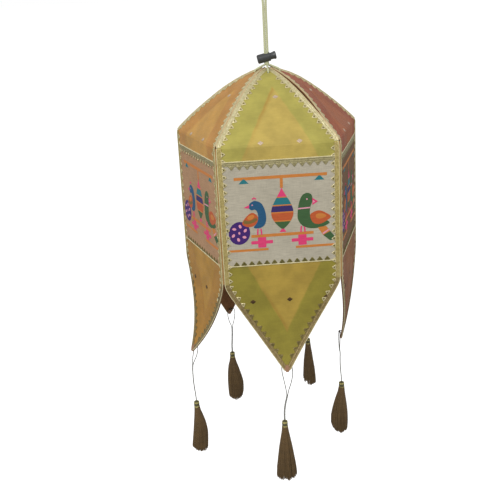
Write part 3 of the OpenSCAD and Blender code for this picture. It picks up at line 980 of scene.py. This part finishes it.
def lace_tooth(shape, panel, border, d, side, slots, foot):
    """Triangle that points in from the header, with a raised rim round a lower centre."""
    slant = math.hypot(TOOTH_HALF, TOOTH_H)
    inradius = TOOTH_HALF * TOOTH_H / (TOOTH_HALF + slant)
    cut, rim = 0.12, 1.25
    corners = ((-TOOTH_HALF, 0), (TOOTH_HALF, 0), (0, TOOTH_H))
    outline = []
    for i, (x, y) in enumerate(corners):
        for j in (i - 1, i + 1):
            other = corners[j % 3]
            outline.append((x + cut * (other[0] - x), y + cut * (other[1] - y)))
    layers = ((0, -0.1), (0, 0.42), (0.25, 0.62), (rim - 0.25, 0.62), (rim, 0.24))
    rings = []
    for inset, height in layers:
        scale = 1 - inset * MM / inradius
        ring = []
        for x, y in outline:
            x, y = x * scale, inradius + (y - inradius) * scale
            u, v = kept_side(border.at(d + x, foot + y), side)
            ring.append(shape.point(panel.place(u, v, CLOTH_T + height * MM), (x + d, y, 0)))
        rings.append(ring)
    shape.rings(rings, slots[0], closed=False)
    shape.face(rings[0][::-1], slots[0])
    shape.face(rings[-1], slots[1])


def teeth_along(shape, panel, border, side, first, last, slots=(0, 2), foot=LACE_W - 0.3 * MM):
    """Row of teeth, as many as fit between two distances along a border."""
    count = max(1, round((last - first) / TOOTH_PITCH))
    for i in range(count):
        d = first + (last - first) * (i + 0.5) / count
        lace_tooth(shape, panel, border, d, side, slots, foot)


def make_lace(panel):
    """Lace down both edges of the wall and the flap, and across the top and bottom of the band."""
    materials = [lace_light, lace_ground, lace_centre, lace_pale, lace_dull, lace_worn, lace_soft]
    tip = -WALL_H - POINT_LEN
    wall, flap = Shape(), Shape()
    for side in (-1, 1):
        edge = side_border(panel, side, -0.3 * MM, tip + 1.5 * MM)
        lace_header(wall, panel, edge, side, 1, last=WALL_H)
        # Below the band, the header and the lower teeth use darker copies of the lace: painted shade on the
        # downward facing point.
        lace_header(wall, panel, edge, side, 5, first=WALL_H)
        teeth_along(wall, panel, edge, side, 3 * MM, WALL_H)
        teeth_along(wall, panel, edge, side, WALL_H, WALL_H + 40 * MM)
        teeth_along(wall, panel, edge, side, WALL_H + 40 * MM, edge.length - 14 * MM, slots=(6, 2))
        edge = side_border(panel, side, 0.3 * MM, FLAP_LEN - 1.5 * MM)
        lace_header(flap, panel, edge, side, 3)
        teeth_along(flap, panel, edge, side, 1 * MM, edge.length - 22 * MM)
    inner = HALF_W - LACE_W
    tooth_end = inner - TOOTH_H
    across = steps_between(-inner, inner, 3 * MM)
    top = Border([(u, BAND_TOP) for u in across], (0, BAND_BOTTOM))
    lace_header(wall, panel, top, 0, 4)
    teeth_along(wall, panel, top, 0, inner - tooth_end, inner + tooth_end, slots=(4, 4))
    bottom = Border([(u, BAND_BOTTOM) for u in across], (0, BAND_TOP))
    # The teeth under the band are wholly in the dark centre colour: painted shade below the band.
    teeth_along(wall, panel, bottom, 0, inner - tooth_end, inner + tooth_end, (2, 2), 0.8 * MM)
    wall_lace = wall.build(f"{panel.name}_wall_border", materials)
    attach(wall_lace, panel.wall_body)
    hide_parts(f"{panel.name}_wall_lace")
    flap_lace = flap.build(f"{panel.name}_flap_border", materials)
    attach(flap_lace, panel.flap_body)
    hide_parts(f"{panel.name}_flap_lace")


def piping_path(panel, border, side, start, end, w, off):
    """Path along a border, w in from its edge."""
    path = []
    for d in steps_between(start, end, 1.2 * MM):
        u, v = kept_side(border.at(d, w), side)
        path.append(panel.place(u, v, off))
    return path


def make_piping(panel):
    """Twisted piping along the edges, and above and below the band."""
    tip = -WALL_H - POINT_LEN
    wall, flap = Shape(), Shape()
    lay = twist(2, 2.6 * MM, 0.2)
    for side in (-1, 1):
        edge = side_border(panel, side, -0.3 * MM, tip + 1.5 * MM)
        wall.tube(piping_path(panel, edge, side, 0, edge.length, 0, 0.6 * MM), 0.6 * MM, 8, lay)
        edge = side_border(panel, side, 0.3 * MM, FLAP_LEN - 1.5 * MM)
        flap.tube(piping_path(panel, edge, side, 0, edge.length, 0, 0.7 * MM), 0.75 * MM, 8, lay)
    reach = HALF_W - LACE_W + 0.5 * MM
    for v in (BAND_TOP, BAND_BOTTOM):
        path = [panel.place(u, v, 0.75 * MM) for u in steps_between(-reach, reach, 1.2 * MM)]
        wall.tube(path, 0.7 * MM, 8, lay)
    for shape, name, body in ((wall, "wall", panel.wall_body), (flap, "flap", panel.flap_body)):
        piping = shape.build(f"{panel.name}_{name}_piping", [piping_cream if name == "wall" else piping_tan])
        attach(piping, body)


# ---- Print and motifs ----

def ellipse(x, y, half_x, half_y, tilt=0, count=28):
    """Outline of an ellipse, tilted anticlockwise by so many degrees."""
    c, s = math.cos(math.radians(tilt)), math.sin(math.radians(tilt))
    outline = []
    for i in range(count):
        a = 2 * math.pi * i / count
        p, q = half_x * math.cos(a), half_y * math.sin(a)
        outline.append((x + c * p - s * q, y + s * p + c * q))
    return outline


def bar(x0, x1, y, thick):
    """Outline of a level bar, a little fuller in the middle, that follows the cloth."""
    across = steps_between(x0, x1, 2.5)
    halves = [thick / 2 + 0.12 * math.sin(math.pi * (x - x0) / (x1 - x0)) for x in across]
    low = [(x, y - half) for x, half in zip(across, halves)]
    return low + [(x, y + half) for x, half in reversed(list(zip(across, halves)))]


def rounded(points, steps=5):
    """Closed smooth outline through the points."""
    count = len(points)
    ring = [Vector(points[i % count]) for i in range(-1, count + 2)]
    curve = smooth(ring, steps)[steps:-steps - 1]
    return [tuple(p) for p in curve[:count * steps]]


def drop_half(y):
    """Half width of the hanging drop at a height: a slender top and a round bottom."""
    top, bottom, widest = 98.6, 44.5, 13.7
    share = (top - y) / (top - bottom)
    return widest * max(0.0, math.sin(math.pi * min(1.0, share) ** 1.35)) ** 0.92 if share < 1 else 0.0


def drop_slice(x, high, low):
    """Outline of the drop between two heights."""
    rows = steps_between(high, low, 1.5)
    left = [(x - drop_half(y), y) for y in rows]
    right = [(x + drop_half(y), y) for y in reversed(rows)]
    return [p for i, p in enumerate(left + right) if i == 0 or math.dist(p, (left + right)[i - 1]) > 0.05]


def blue_bird():
    """Bird on the left, which looks back over its round spotted tail."""
    marks = [("plum", 0, ellipse(-51.5, 43.2, 13.2, 14.8, -12))]
    marks += [("blush", 1, ellipse(
        -51.7 + 7.9 * math.cos(math.radians(60 * i + 20)), 43.4 + 8.6 * math.sin(math.radians(60 * i + 20)),
        1.7, 2.5, 60 * i - 40, 14)) for i in range(6)]
    marks += [("blush", 1, ellipse(-51.7, 43.4, 1.3, 1.8, 0, 12))]
    marks += [
        ("rust", 2, rounded(((-47.6, 55.6), (-42.5, 63.5), (-35.6, 68.4), (-29.6, 65.6), (-27.4, 59.0),
                             (-31.5, 53.0), (-37.5, 50.4), (-43.5, 51.6)))),
        ("olive", 3, rounded(((-44.6, 59.6), (-38.5, 58.4), (-30.5, 61.6), (-29.3, 58.4), (-37.5, 54.6),
                              (-45.3, 55.4)))),
        ("orange", 3, ellipse(-36.6, 62.9, 4.6, 2.7, 24, 18)),
        ("blue", 4, rounded(((-29.6, 83.2), (-22.8, 79.4), (-18.9, 70.5), (-17.8, 60.0), (-20.2, 52.0),
                             (-26.5, 48.4), (-33.5, 49.4), (-29.2, 55.6), (-27.5, 63.0), (-28.6, 69.4),
                             (-31.2, 72.4), (-35.4, 71.9), (-38.3, 75.0), (-37.6, 79.6), (-34.0, 82.6)))),
        ("pink", 5, ((-38.0, 78.6), (-44.8, 75.4), (-38.2, 74.2))),
        ("blush", 5, ellipse(-34.2, 78.2, 0.9, 0.9, 0, 12)),
    ]
    marks += [("pink", 5, ellipse(-31.7 + 2.4 * math.cos(a), 83.6 + 3.4 * math.sin(a), 1.0, 1.0, 0, 12))
              for a in (math.radians(45), math.radians(90), math.radians(135))]
    return marks + legs(-26.6)


def green_bird():
    """Bird on the right, which faces away from the drop."""
    return [
        ("green", 1, rounded(((33.2, 89.2), (27.4, 86.2), (23.6, 78.0), (21.6, 67.0), (21.4, 57.0),
                              (25.8, 48.8), (34.0, 44.4), (44.0, 43.4), (54.0, 45.4), (60.8, 49.6),
                              (54.0, 53.8), (44.0, 53.4), (38.0, 56.6), (36.4, 64.0), (37.4, 72.0),
                              (40.0, 79.0), (38.8, 86.6)))),
        ("blush", 2, ((21.9, 69.0), (36.8, 69.6), (36.9, 71.2), (22.1, 70.7))),
        ("rust", 2, rounded(((36.8, 60.6), (42.0, 64.8), (48.6, 65.8), (56.0, 62.6), (62.4, 57.2),
                             (56.0, 51.6), (47.0, 48.4), (39.6, 51.6)))),
        ("orange", 3, rounded(((44.0, 60.6), (50.0, 62.6), (57.0, 58.6), (51.0, 55.6), (45.0, 56.4)))),
        ("orange", 2, ((46.0, 44.2), (56.4, 45.4), (61.4, 38.4), (52.4, 33.8))),
        ("green", 2, ((52.4, 33.8), (61.4, 38.4), (66.4, 32.0), (66.2, 27.6), (61.0, 26.2))),
        ("blush", 3, ((51.6, 36.4), (59.2, 41.4), (60.2, 39.9), (52.4, 34.8))),
        ("pink", 3, ((39.8, 82.4), (46.8, 77.8), (39.9, 73.6))),
        ("blush", 4, ((40.4, 79.6), (43.4, 77.8), (40.4, 76.2))),
        ("blush", 3, ellipse(33.2, 81.4, 1.0, 1.0, 0, 12)),
    ] + legs(27.3)


def legs(x):
    """Two short legs that stand on the platform."""
    marks = []
    for step in (-1.9, 1.9):
        marks.append(("pink", 1, ((x + step - 0.9, 47.5), (x + step + 0.9, 47.5),
                                  (x + step * 1.35 + 0.9, 39.6), (x + step * 1.35 - 0.9, 39.6))))
    return marks


def print_marks():
    """The band's print, as (ink, layer, outline in millimetres up from the middle of its foot)."""
    marks = [
        ("orange", 0, bar(-55, 58.5, 111.6, 3.6)),
        ("teal", 1, ((-49.4, 105.4), (-37.2, 105.4), (-42.4, 111.0), (-44.2, 111.0))),
        ("teal", 1, ((42.8, 104.6), (55.2, 104.6), (50.0, 110.2), (48.2, 110.2))),
        ("orange", 0, ((0.6, 97.6), (4.2, 97.6), (4.4, 111.0), (0.8, 111.0))),
        ("orange", 0, bar(-37, 40.5, 38.2, 3.6)),
        ("orange", 0, bar(-66, -16.4, 20.4, 2.8)),
        ("orange", 0, bar(18, 66, 20.6, 2.8)),
        ("pink", 1, ((-1.8, 41.4), (6.6, 41.4), (3.2, 46.4), (1.6, 46.4))),
    ]
    x = 2.4
    marks.append(("orange", 1, drop_slice(x, 98.0, 45.5)))
    slices = (("pink", 98.2, 86.4), ("teal", 85.2, 76.4), ("navy", 74.8, 67.4), ("rust", 65.8, 56.2),
              ("green", 54.8, 45.6))
    marks += [(ink_name, 2, drop_slice(x, high, low)) for ink_name, high, low in slices]
    for centre in (-24.0, 26.4):
        marks.append(("pink", 1, bar(centre - 5.1, centre + 5.1, 29.6, 13.2)))
        marks.append(("pink", 1, bar(centre - 13.5, centre - 5.0, 29.8, 4.0)))
        marks.append(("pink", 1, bar(centre + 5.0, centre + 13.5, 29.8, 4.0)))
    return marks + blue_bird() + green_bird()


def print_mark(shape, panel, slot, layer, outline):
    """Thin closed shape of ink, sunk into the linen."""
    low, high = CLOTH_T - 0.15 * MM, CLOTH_T + (0.16 + 0.04 * layer) * MM
    rings = []
    for off in (low, high):
        ring = []
        for x, y in outline:
            u, v = x * MM, BAND_BOTTOM + y * MM
            ring.append(shape.point(panel.place(u, v, off), (u, v, 0)))
        rings.append(ring)
    shape.rings(rings, slot, closed=False)
    for triangle in geometry.tessellate_polygon([[Vector((x, y, 0)) for x, y in outline]]):
        for ring in rings:
            shape.face([ring[i] for i in triangle], slot)


def make_print(panel):
    """Print of two birds on a balance, either side of a hanging drop."""
    names = list(INKS)
    shape = Shape()
    for ink_name, layer, outline in print_marks():
        print_mark(shape, panel, names.index(ink_name), layer, outline)
    piece = shape.build(f"{panel.name}_band_print", [ink_of[n] for n in names])
    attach(piece, panel.wall_body)


def motif(shape, panel, u, v, slot=0):
    """Small woven diamond with stepped sides, raised from the cloth."""
    steps = ((0.6, 2.6), (1.4, 1.9), (2.3, 1.2), (3.4, 0.5))
    outline = []
    for sx, sy in ((1, 1), (1, -1), (-1, -1), (-1, 1)):
        run = [(x, y) for x, y in steps]
        run = run if sx * sy > 0 else run[::-1]
        outline += [(sx * x, sy * y) for x, y in run]
    rings = []
    for scale, height in ((1, -0.1), (1, 0.16), (0.84, 0.28)):
        rings.append([shape.point(
            panel.place(u + x * scale * MM, v + y * scale * MM, CLOTH_T + height * MM),
            (x * MM, y * MM, 0)) for x, y in outline])
    shape.rings(rings, slot)


def make_motifs(panel):
    """Rows of small motifs, each row set half a space from the last."""
    space = 47 * MM
    flap, point = Shape(), Shape()
    for v, middle in ((69 * MM, 4 * MM), (3 * MM, -20.5 * MM), (3 * MM, 26.5 * MM)):
        motif(flap, panel, middle, v)
    for n in (-1, 0, 1):
        motif(point, panel, 8 * MM + n * space, -200 * MM)
    # The flap motifs take the pale copy as painted highlight, and the point motifs take the dark copy as painted
    # shade.
    for shape, name, body, m in (
        (flap, "flap", panel.flap_body, motif_pale), (point, "point", panel.wall_body, motif_dark),
    ):
        piece = shape.build(f"{panel.name}_{name}_motifs", [m])
        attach(piece, body)


# ---- Tip fold and stitches ----

def make_tip(panel):
    """Folded patch over the end of the point, and the stitches that hold the tassel's cord."""
    tip = -WALL_H - POINT_LEN
    outline = ((0, 9.5), (-2.2, 7.2), (-3.8, 4.6), (-2.8, 2), (-1.6, -0.5), (1.6, -0.5), (2.8, 2),
               (3.8, 4.6), (2.2, 7.2))
    shape = Shape()
    rings = []
    for scale, off in ((0.9, -CARD_T - 0.5 * MM), (1, -CARD_T - 0.2 * MM), (1, 0.9 * MM), (0.86, 1.3 * MM)):
        rings.append([shape.point(
            panel.place(x * scale * MM, tip + (5 + (y - 5) * scale) * MM, off), (x * MM, y * MM, 0))
            for x, y in outline])
    shape.rings(rings)
    fold = shape.build(f"{panel.name}_tip_fold", [fold_cloth], sharp=60)
    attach(fold, panel.wall_body)

    pivot_v = tip + 8.5 * MM
    pivot = Vector(JOINTS[f"{panel.name}_tassel_swing"]["pos_m"])
    thread_r = 0.22 * MM
    shape = Shape()
    for u in (-1.2 * MM, 0.0, 1.2 * MM):
        foot = panel.place(u, pivot_v, -CARD_T + 0.1 * MM)
        outward = (foot - panel.place(u, pivot_v, -CARD_T - 1 * MM)).normalized()
        down = (panel.place(u, pivot_v - MM, -CARD_T) - panel.place(u, pivot_v, -CARD_T)).normalized()
        reach = (foot - pivot).dot(outward) + TASSEL_CORD_D / 2 + thread_r + 0.35 * MM
        loop = [foot - 1.7 * MM * down, foot - 1.3 * MM * down - 0.5 * reach * outward,
                foot - reach * outward, foot + 1.3 * MM * down - 0.5 * reach * outward,
                foot + 1.7 * MM * down]
        shape.tube(smooth(loop, 6), thread_r, 6)
    stitch = shape.build(f"{panel.name}_cord_stitches", [tassel_twine])
    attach(stitch, panel.wall_body)


# ---- Hinge tapes ----

def make_tape(name, index, blended):
    """Tape inside the corner after a panel. Its fold fills the gap between the two cards."""
    here, after = panels[index], panels[(index + 1) % len(panels)]
    lift, leg, thick = 14 * MM, 14 * MM, 0.4 * MM
    fold_foot = HALF_W + 0.4 * MM
    leg_end = HALF_W - leg
    rows = steps_between(-0.5 * MM, -WALL_H + 1 * MM, 6 * MM)
    mitre = math.tan(TURN / 2)
    rings = []
    shape = Shape()
    for v in rows:
        layers = []
        narrowed = max(0.0, 1 - (v + WALL_H) / lift) * 6 * MM
        start = leg_end + narrowed
        for depth, peak in ((0.02 * MM, 0.55 * MM), (thick, -0.35 * MM)):
            along = [(start + (HALF_W - start) * i / 7, -CARD_T - depth) for i in range(8)]
            along += [(fold_foot, -CARD_T * 0.55 + peak), ((APOTHEM + peak) * mitre - 0.3 * MM, peak)]
            points = [(here, -u, off) for u, off in along] + [(after, u, off) for u, off in reversed(along)]
            layers.append([(p.place(u, v, off), (HALF_W + u if p is here else u - HALF_W, v, 0))
                           for p, u, off in points])
        ring = layers[0] + layers[1][::-1]
        rings.append([shape.point(place, flat) for place, flat in ring])
    shape.rings(rings)
    piece = shape.build(f"{name}_twill", [tape])
    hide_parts(name)
    if blended:
        middle = (rows[0] + rows[-1]) / 2
        tuple(here.place(-HALF_W + MM, middle, -CARD_T))
        tuple(after.place(HALF_W - MM, middle, -CARD_T))
        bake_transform(piece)
    else:
        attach(piece, here.wall_body)


# ---- Tassels ----

# Half widths of each skirt in millimetres, at even steps from its neck to its end, left and
# right as the front shows it, and how much shorter its outer strands are on each side
SKIRTS = (
    ((3.7, 6.4, 9.0, 11.0, 13.0, 14.0), (3.7, 6.4, 9.0, 11.0, 13.2, 14.2), (1.5, 2.5)),
    ((3.4, 4.6, 6.2, 7.8, 9.6, 11.4), (3.8, 8.2, 11.6, 13.2, 12.6, 11.6), (6, 0.5)),
    ((3.7, 7.4, 8.8, 9.4, 9.2, 8.4), (3.6, 7.6, 11.2, 14.2, 14.2, 12.6), (2, 3)),
    ((3.6, 5.4, 7.0, 7.9, 8.6, 9.4), (3.8, 6.0, 7.6, 9.6, 10.8, 11.4), (11, 2)),
    ((4.0, 8.7, 12.6, 15.6, 16.2, 13.0), (3.8, 5.5, 7.2, 8.2, 8.4, 7.4), (5, 3)),
)
TASSEL_NECK = -13 * MM
STRANDS = 640


def skirt_half(widths, share):
    """Half width at a share of the skirt's length, between the ones given."""
    at = min(share, 0.9999) * (len(widths) - 1)
    i = int(at)
    return (widths[i] + (at - i) * (widths[i + 1] - widths[i])) * MM


def make_tassel(panel):
    """Wound head, and a skirt of loose silk strands round a denser middle."""
    at = JOINTS[f"{panel.name}_tassel_swing"]["pos_m"]
    x, out, z = TASSEL_LEGS[panel.index][-1]
    top = route_on(panel, [(x, out, z + CORD_IN_HEAD)], math.hypot(at[0], at[1]), at[2])[0]
    end_z = -TASSEL_LENGTHS[panel.index]
    left, right, shorter = SKIRTS[panel.index]
    rand = random.Random(40 + panel.index)

    def skirt_place(angle, depth, z):
        share = max(0.0, (z - TASSEL_NECK) / (end_z - TASSEL_NECK))
        middle = (skirt_half(right, share) - skirt_half(left, share)) / 2
        across = (skirt_half(left, share) + skirt_half(right, share)) / 2
        x = depth * (across * math.cos(angle) + middle)
        return top + Vector((x, 0.92 * across * depth * math.sin(angle), z))

    skirt = Shape()
    for i in range(STRANDS):
        angle = 2 * math.pi * (i * 0.618034 % 1.0) + rand.uniform(-0.05, 0.05)
        depth = math.sqrt(rand.uniform(0.5, 1.0))
        clump = noise.noise(Vector((2.4 * math.cos(angle), 2.4 * math.sin(angle), 3.0 * panel.index)))
        short = shorter[0] if math.cos(angle) < 0 else shorter[1]
        end = end_z + (short * abs(math.cos(angle)) * depth ** 3 + 3.6 * clump + rand.uniform(-1.2, 2.6)) * MM
        start = TASSEL_NECK + rand.uniform(1.0, 4.0) * MM
        phase, swing = rand.uniform(0, 2 * math.pi), rand.uniform(0.1, 0.55) * MM
        path = []
        for n in range(11):
            share = n / 10
            p = skirt_place(angle + 0.1 * clump * share, depth * (1 + 0.07 * clump * share),
                            start + (end - start) * share)
            wobble = swing * share * math.sin(2.2 * math.pi * share + phase)
            path.append(p + Vector((wobble * math.sin(angle), -wobble * math.cos(angle), 0)))
        skirt.tube(path, lambda share: 0.38 * MM * (1 - 0.25 * share), 5)
    # The solid middle uses a darker copy of the silk, as painted shade inside the skirt.
    core_rows = []
    core = Shape()
    core_end = end_z + (3 + max(shorter) * 0.5) * MM
    for n in range(13):
        z = TASSEL_NECK + (core_end - TASSEL_NECK) * n / 12
        core_rows.append([core.point(skirt_place(2 * math.pi * m / 20, 0.76, z), (z, m * MM, 0))
                          for m in range(20)])
    core.rings(core_rows)

    head = Shape()
    outline = ((-1.6, 0.9), (-2.2, 2.2), (-3.4, 3.1), (-5, 3.4), (-7, 3.5), (-9.5, 3.45), (-11.5, 3.1),
               (-13, 3.3), (-14.4, 3.9))
    path = [top + Vector((0, 0, z * MM)) for z, r in outline]
    fine = smooth(path, 8)
    radii = [p.x for p in smooth([Vector((r, 0, 0)) for z, r in outline], 8)]
    head.tube(fine, lambda share: radii[round(share * (len(radii) - 1))] * MM, 28)
    winding_r = 0.42 * MM
    bands = ((-2.8, -4.6, 1), (-4.9, -8.2, 0), (-8.5, -10.8, 1), (-11.1, -12.9, 0))
    for z_high, z_low, slot in bands:
        turns = round((z_high - z_low) / 0.7)
        coil = []
        for n in range(turns * 24 + 1):
            z = z_high + (z_low - z_high) * n / (turns * 24)
            r = (3.45 - 0.5 * max(0.0, abs(z + 7) - 3) / 4) * MM
            coil.append(top + Vector((
                r * math.cos(2 * math.pi * n / 24), r * math.sin(2 * math.pi * n / 24), z * MM)))
        head.tube(coil, winding_r, 6, slot=slot)

    pieces = (
        (skirt, "skirt", [tassel_silk]), (core, "core", [tassel_core]), (head, "head", [head_silk, head_gold]))
    for shape, name, materials in pieces:
        piece = shape.build(f"{panel.name}_tassel_{name}", materials)
        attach(piece, panel.tassel_body)
        if name == "skirt":
            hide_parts(f"{panel.name}_tassel")


# ---- Lock ----

def finish_lock():
    """The lock keeps its own solids in moulded plastic, and its spring is a coil of steel wire."""
    for node in ("lock_body", "lock_button"):
        piece = frame["nodes"][node]
        piece.data.materials.clear()
        piece.data.materials.append(lock_plastic)

    middle = Vector((0, 0, -LOCK_DROP))
    tilt = math.radians(LOCK_TILT)
    along = Vector((math.cos(tilt), 0, math.sin(tilt)))
    across = Vector((-math.sin(tilt), 0, math.cos(tilt)))
    aside = Vector((0, 1, 0))
    wire_r, turns, steps = 0.35 * MM, 4, 20
    far, near = SPRING_SPAN[0] + wire_r, SPRING_SPAN[1] - wire_r
    coil = []
    for n in range(turns * steps + 1):
        x = far + (near - far) * n / (turns * steps)
        angle = 2 * math.pi * n / steps
        coil.append(middle + x * along + SPRING_R * (math.cos(angle) * aside + math.sin(angle) * across))
    shape = Shape()
    shape.tube(coil, wire_r, 8)
    spring = shape.build("lock_spring_coil", [spring_wire])
    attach(spring, "cord_lock")
    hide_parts("lock_spring")
    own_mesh(spring)


# ---- Stage and light ----

# Strength of the surroundings' light from straight below and straight above
LIGHT_BELOW, LIGHT_ABOVE = 0.22, 0.75


def make_stage():
    """Pale floor, below the lantern and far behind it."""
    mesh = bpy.data.meshes.new("floor")
    size, z = 40.0, cad_box[0][2] - 0.28
    mesh.from_pydata([(-size, -size, z), (size, -size, z), (size, size, z), (-size, size, z)], [], [(0, 1, 2, 3)])
    f = Finish("floor", Specular_IOR_Level=0.1)
    grain = f.noise(f.solid(), 6.0, 3.0)
    f.colour(f.mix(grain, linear((246, 246, 246)), linear((250, 250, 250))))
    f.rough(0.9)
    f.shader.inputs["Emission Color"].default_value = (1, 1, 1, 1)
    f.shader.inputs["Emission Strength"].default_value = 0.5
    mesh.materials.append(f.material)
    floor = bpy.data.objects.new("floor", mesh)
    floor.visible_diffuse = floor.visible_glossy = False
    bpy.context.scene.collection.objects.link(floor)


def make_light():
    """White surroundings, a large soft key from the front and above, and a weak fill."""
    world = bpy.data.worlds.new("studio")
    bpy.context.scene.world = world
    world.use_nodes = True
    nodes, links = world.node_tree.nodes, world.node_tree.links
    back = nodes["Background"]
    back.inputs["Color"].default_value = (1, 1, 1, 1)
    towards, height = nodes.new("ShaderNodeTexCoord"), nodes.new("ShaderNodeSeparateXYZ")
    room, seen = nodes.new("ShaderNodeMapRange"), nodes.new("ShaderNodeLightPath")
    strength = nodes.new("ShaderNodeMix")
    room.inputs["From Min"].default_value = -1.0
    room.inputs["To Min"].default_value = LIGHT_BELOW
    room.inputs["To Max"].default_value = LIGHT_ABOVE
    strength.inputs["B"].default_value = 1.0
    links.new(towards.outputs["Generated"], height.inputs["Vector"])
    links.new(height.outputs["Z"], room.inputs["Value"])
    links.new(room.outputs["Result"], strength.inputs["A"])
    links.new(seen.outputs["Is Camera Ray"], strength.inputs["Factor"])
    links.new(strength.outputs["Result"], back.inputs["Strength"])
    lamps = (("key", (-0.9, -1.5, 0.9), 1.1, 20), ("fill", (1.4, -1.2, 0.1), 1.2, 4))
    for name, place, size, power in lamps:
        data = bpy.data.lights.new(name, "AREA")
        data.shape, data.size, data.energy = "DISK", size, power
        lamp = bpy.data.objects.new(name, data)
        lamp.location = place
        aim = Vector((0, 0, -0.28)) - Vector(place)
        lamp.rotation_euler = aim.to_track_quat("-Z", "Y").to_euler()
        bpy.context.scene.collection.objects.link(lamp)
    bpy.context.scene.view_settings.view_transform = "Standard"


make_hang_cord()
for panel in panels:
    make_tassel_cord(panel)
    make_draw_strand(panel)
make_gather()
for panel in panels:
    make_boards(panel)
    make_facings(panel)
    make_lace(panel)
    make_piping(panel)
    make_print(panel)
    make_motifs(panel)
    make_tip(panel)
    make_tassel(panel)
TAPES = ("front_left_hinge_tape", "side_left_hinge_tape", "back_seam_tape", "side_right_hinge_tape",
         "front_right_hinge_tape")
for index, name in enumerate(TAPES):
    make_tape(name, index, name != "back_seam_tape")
finish_lock()
make_stage()
make_light()
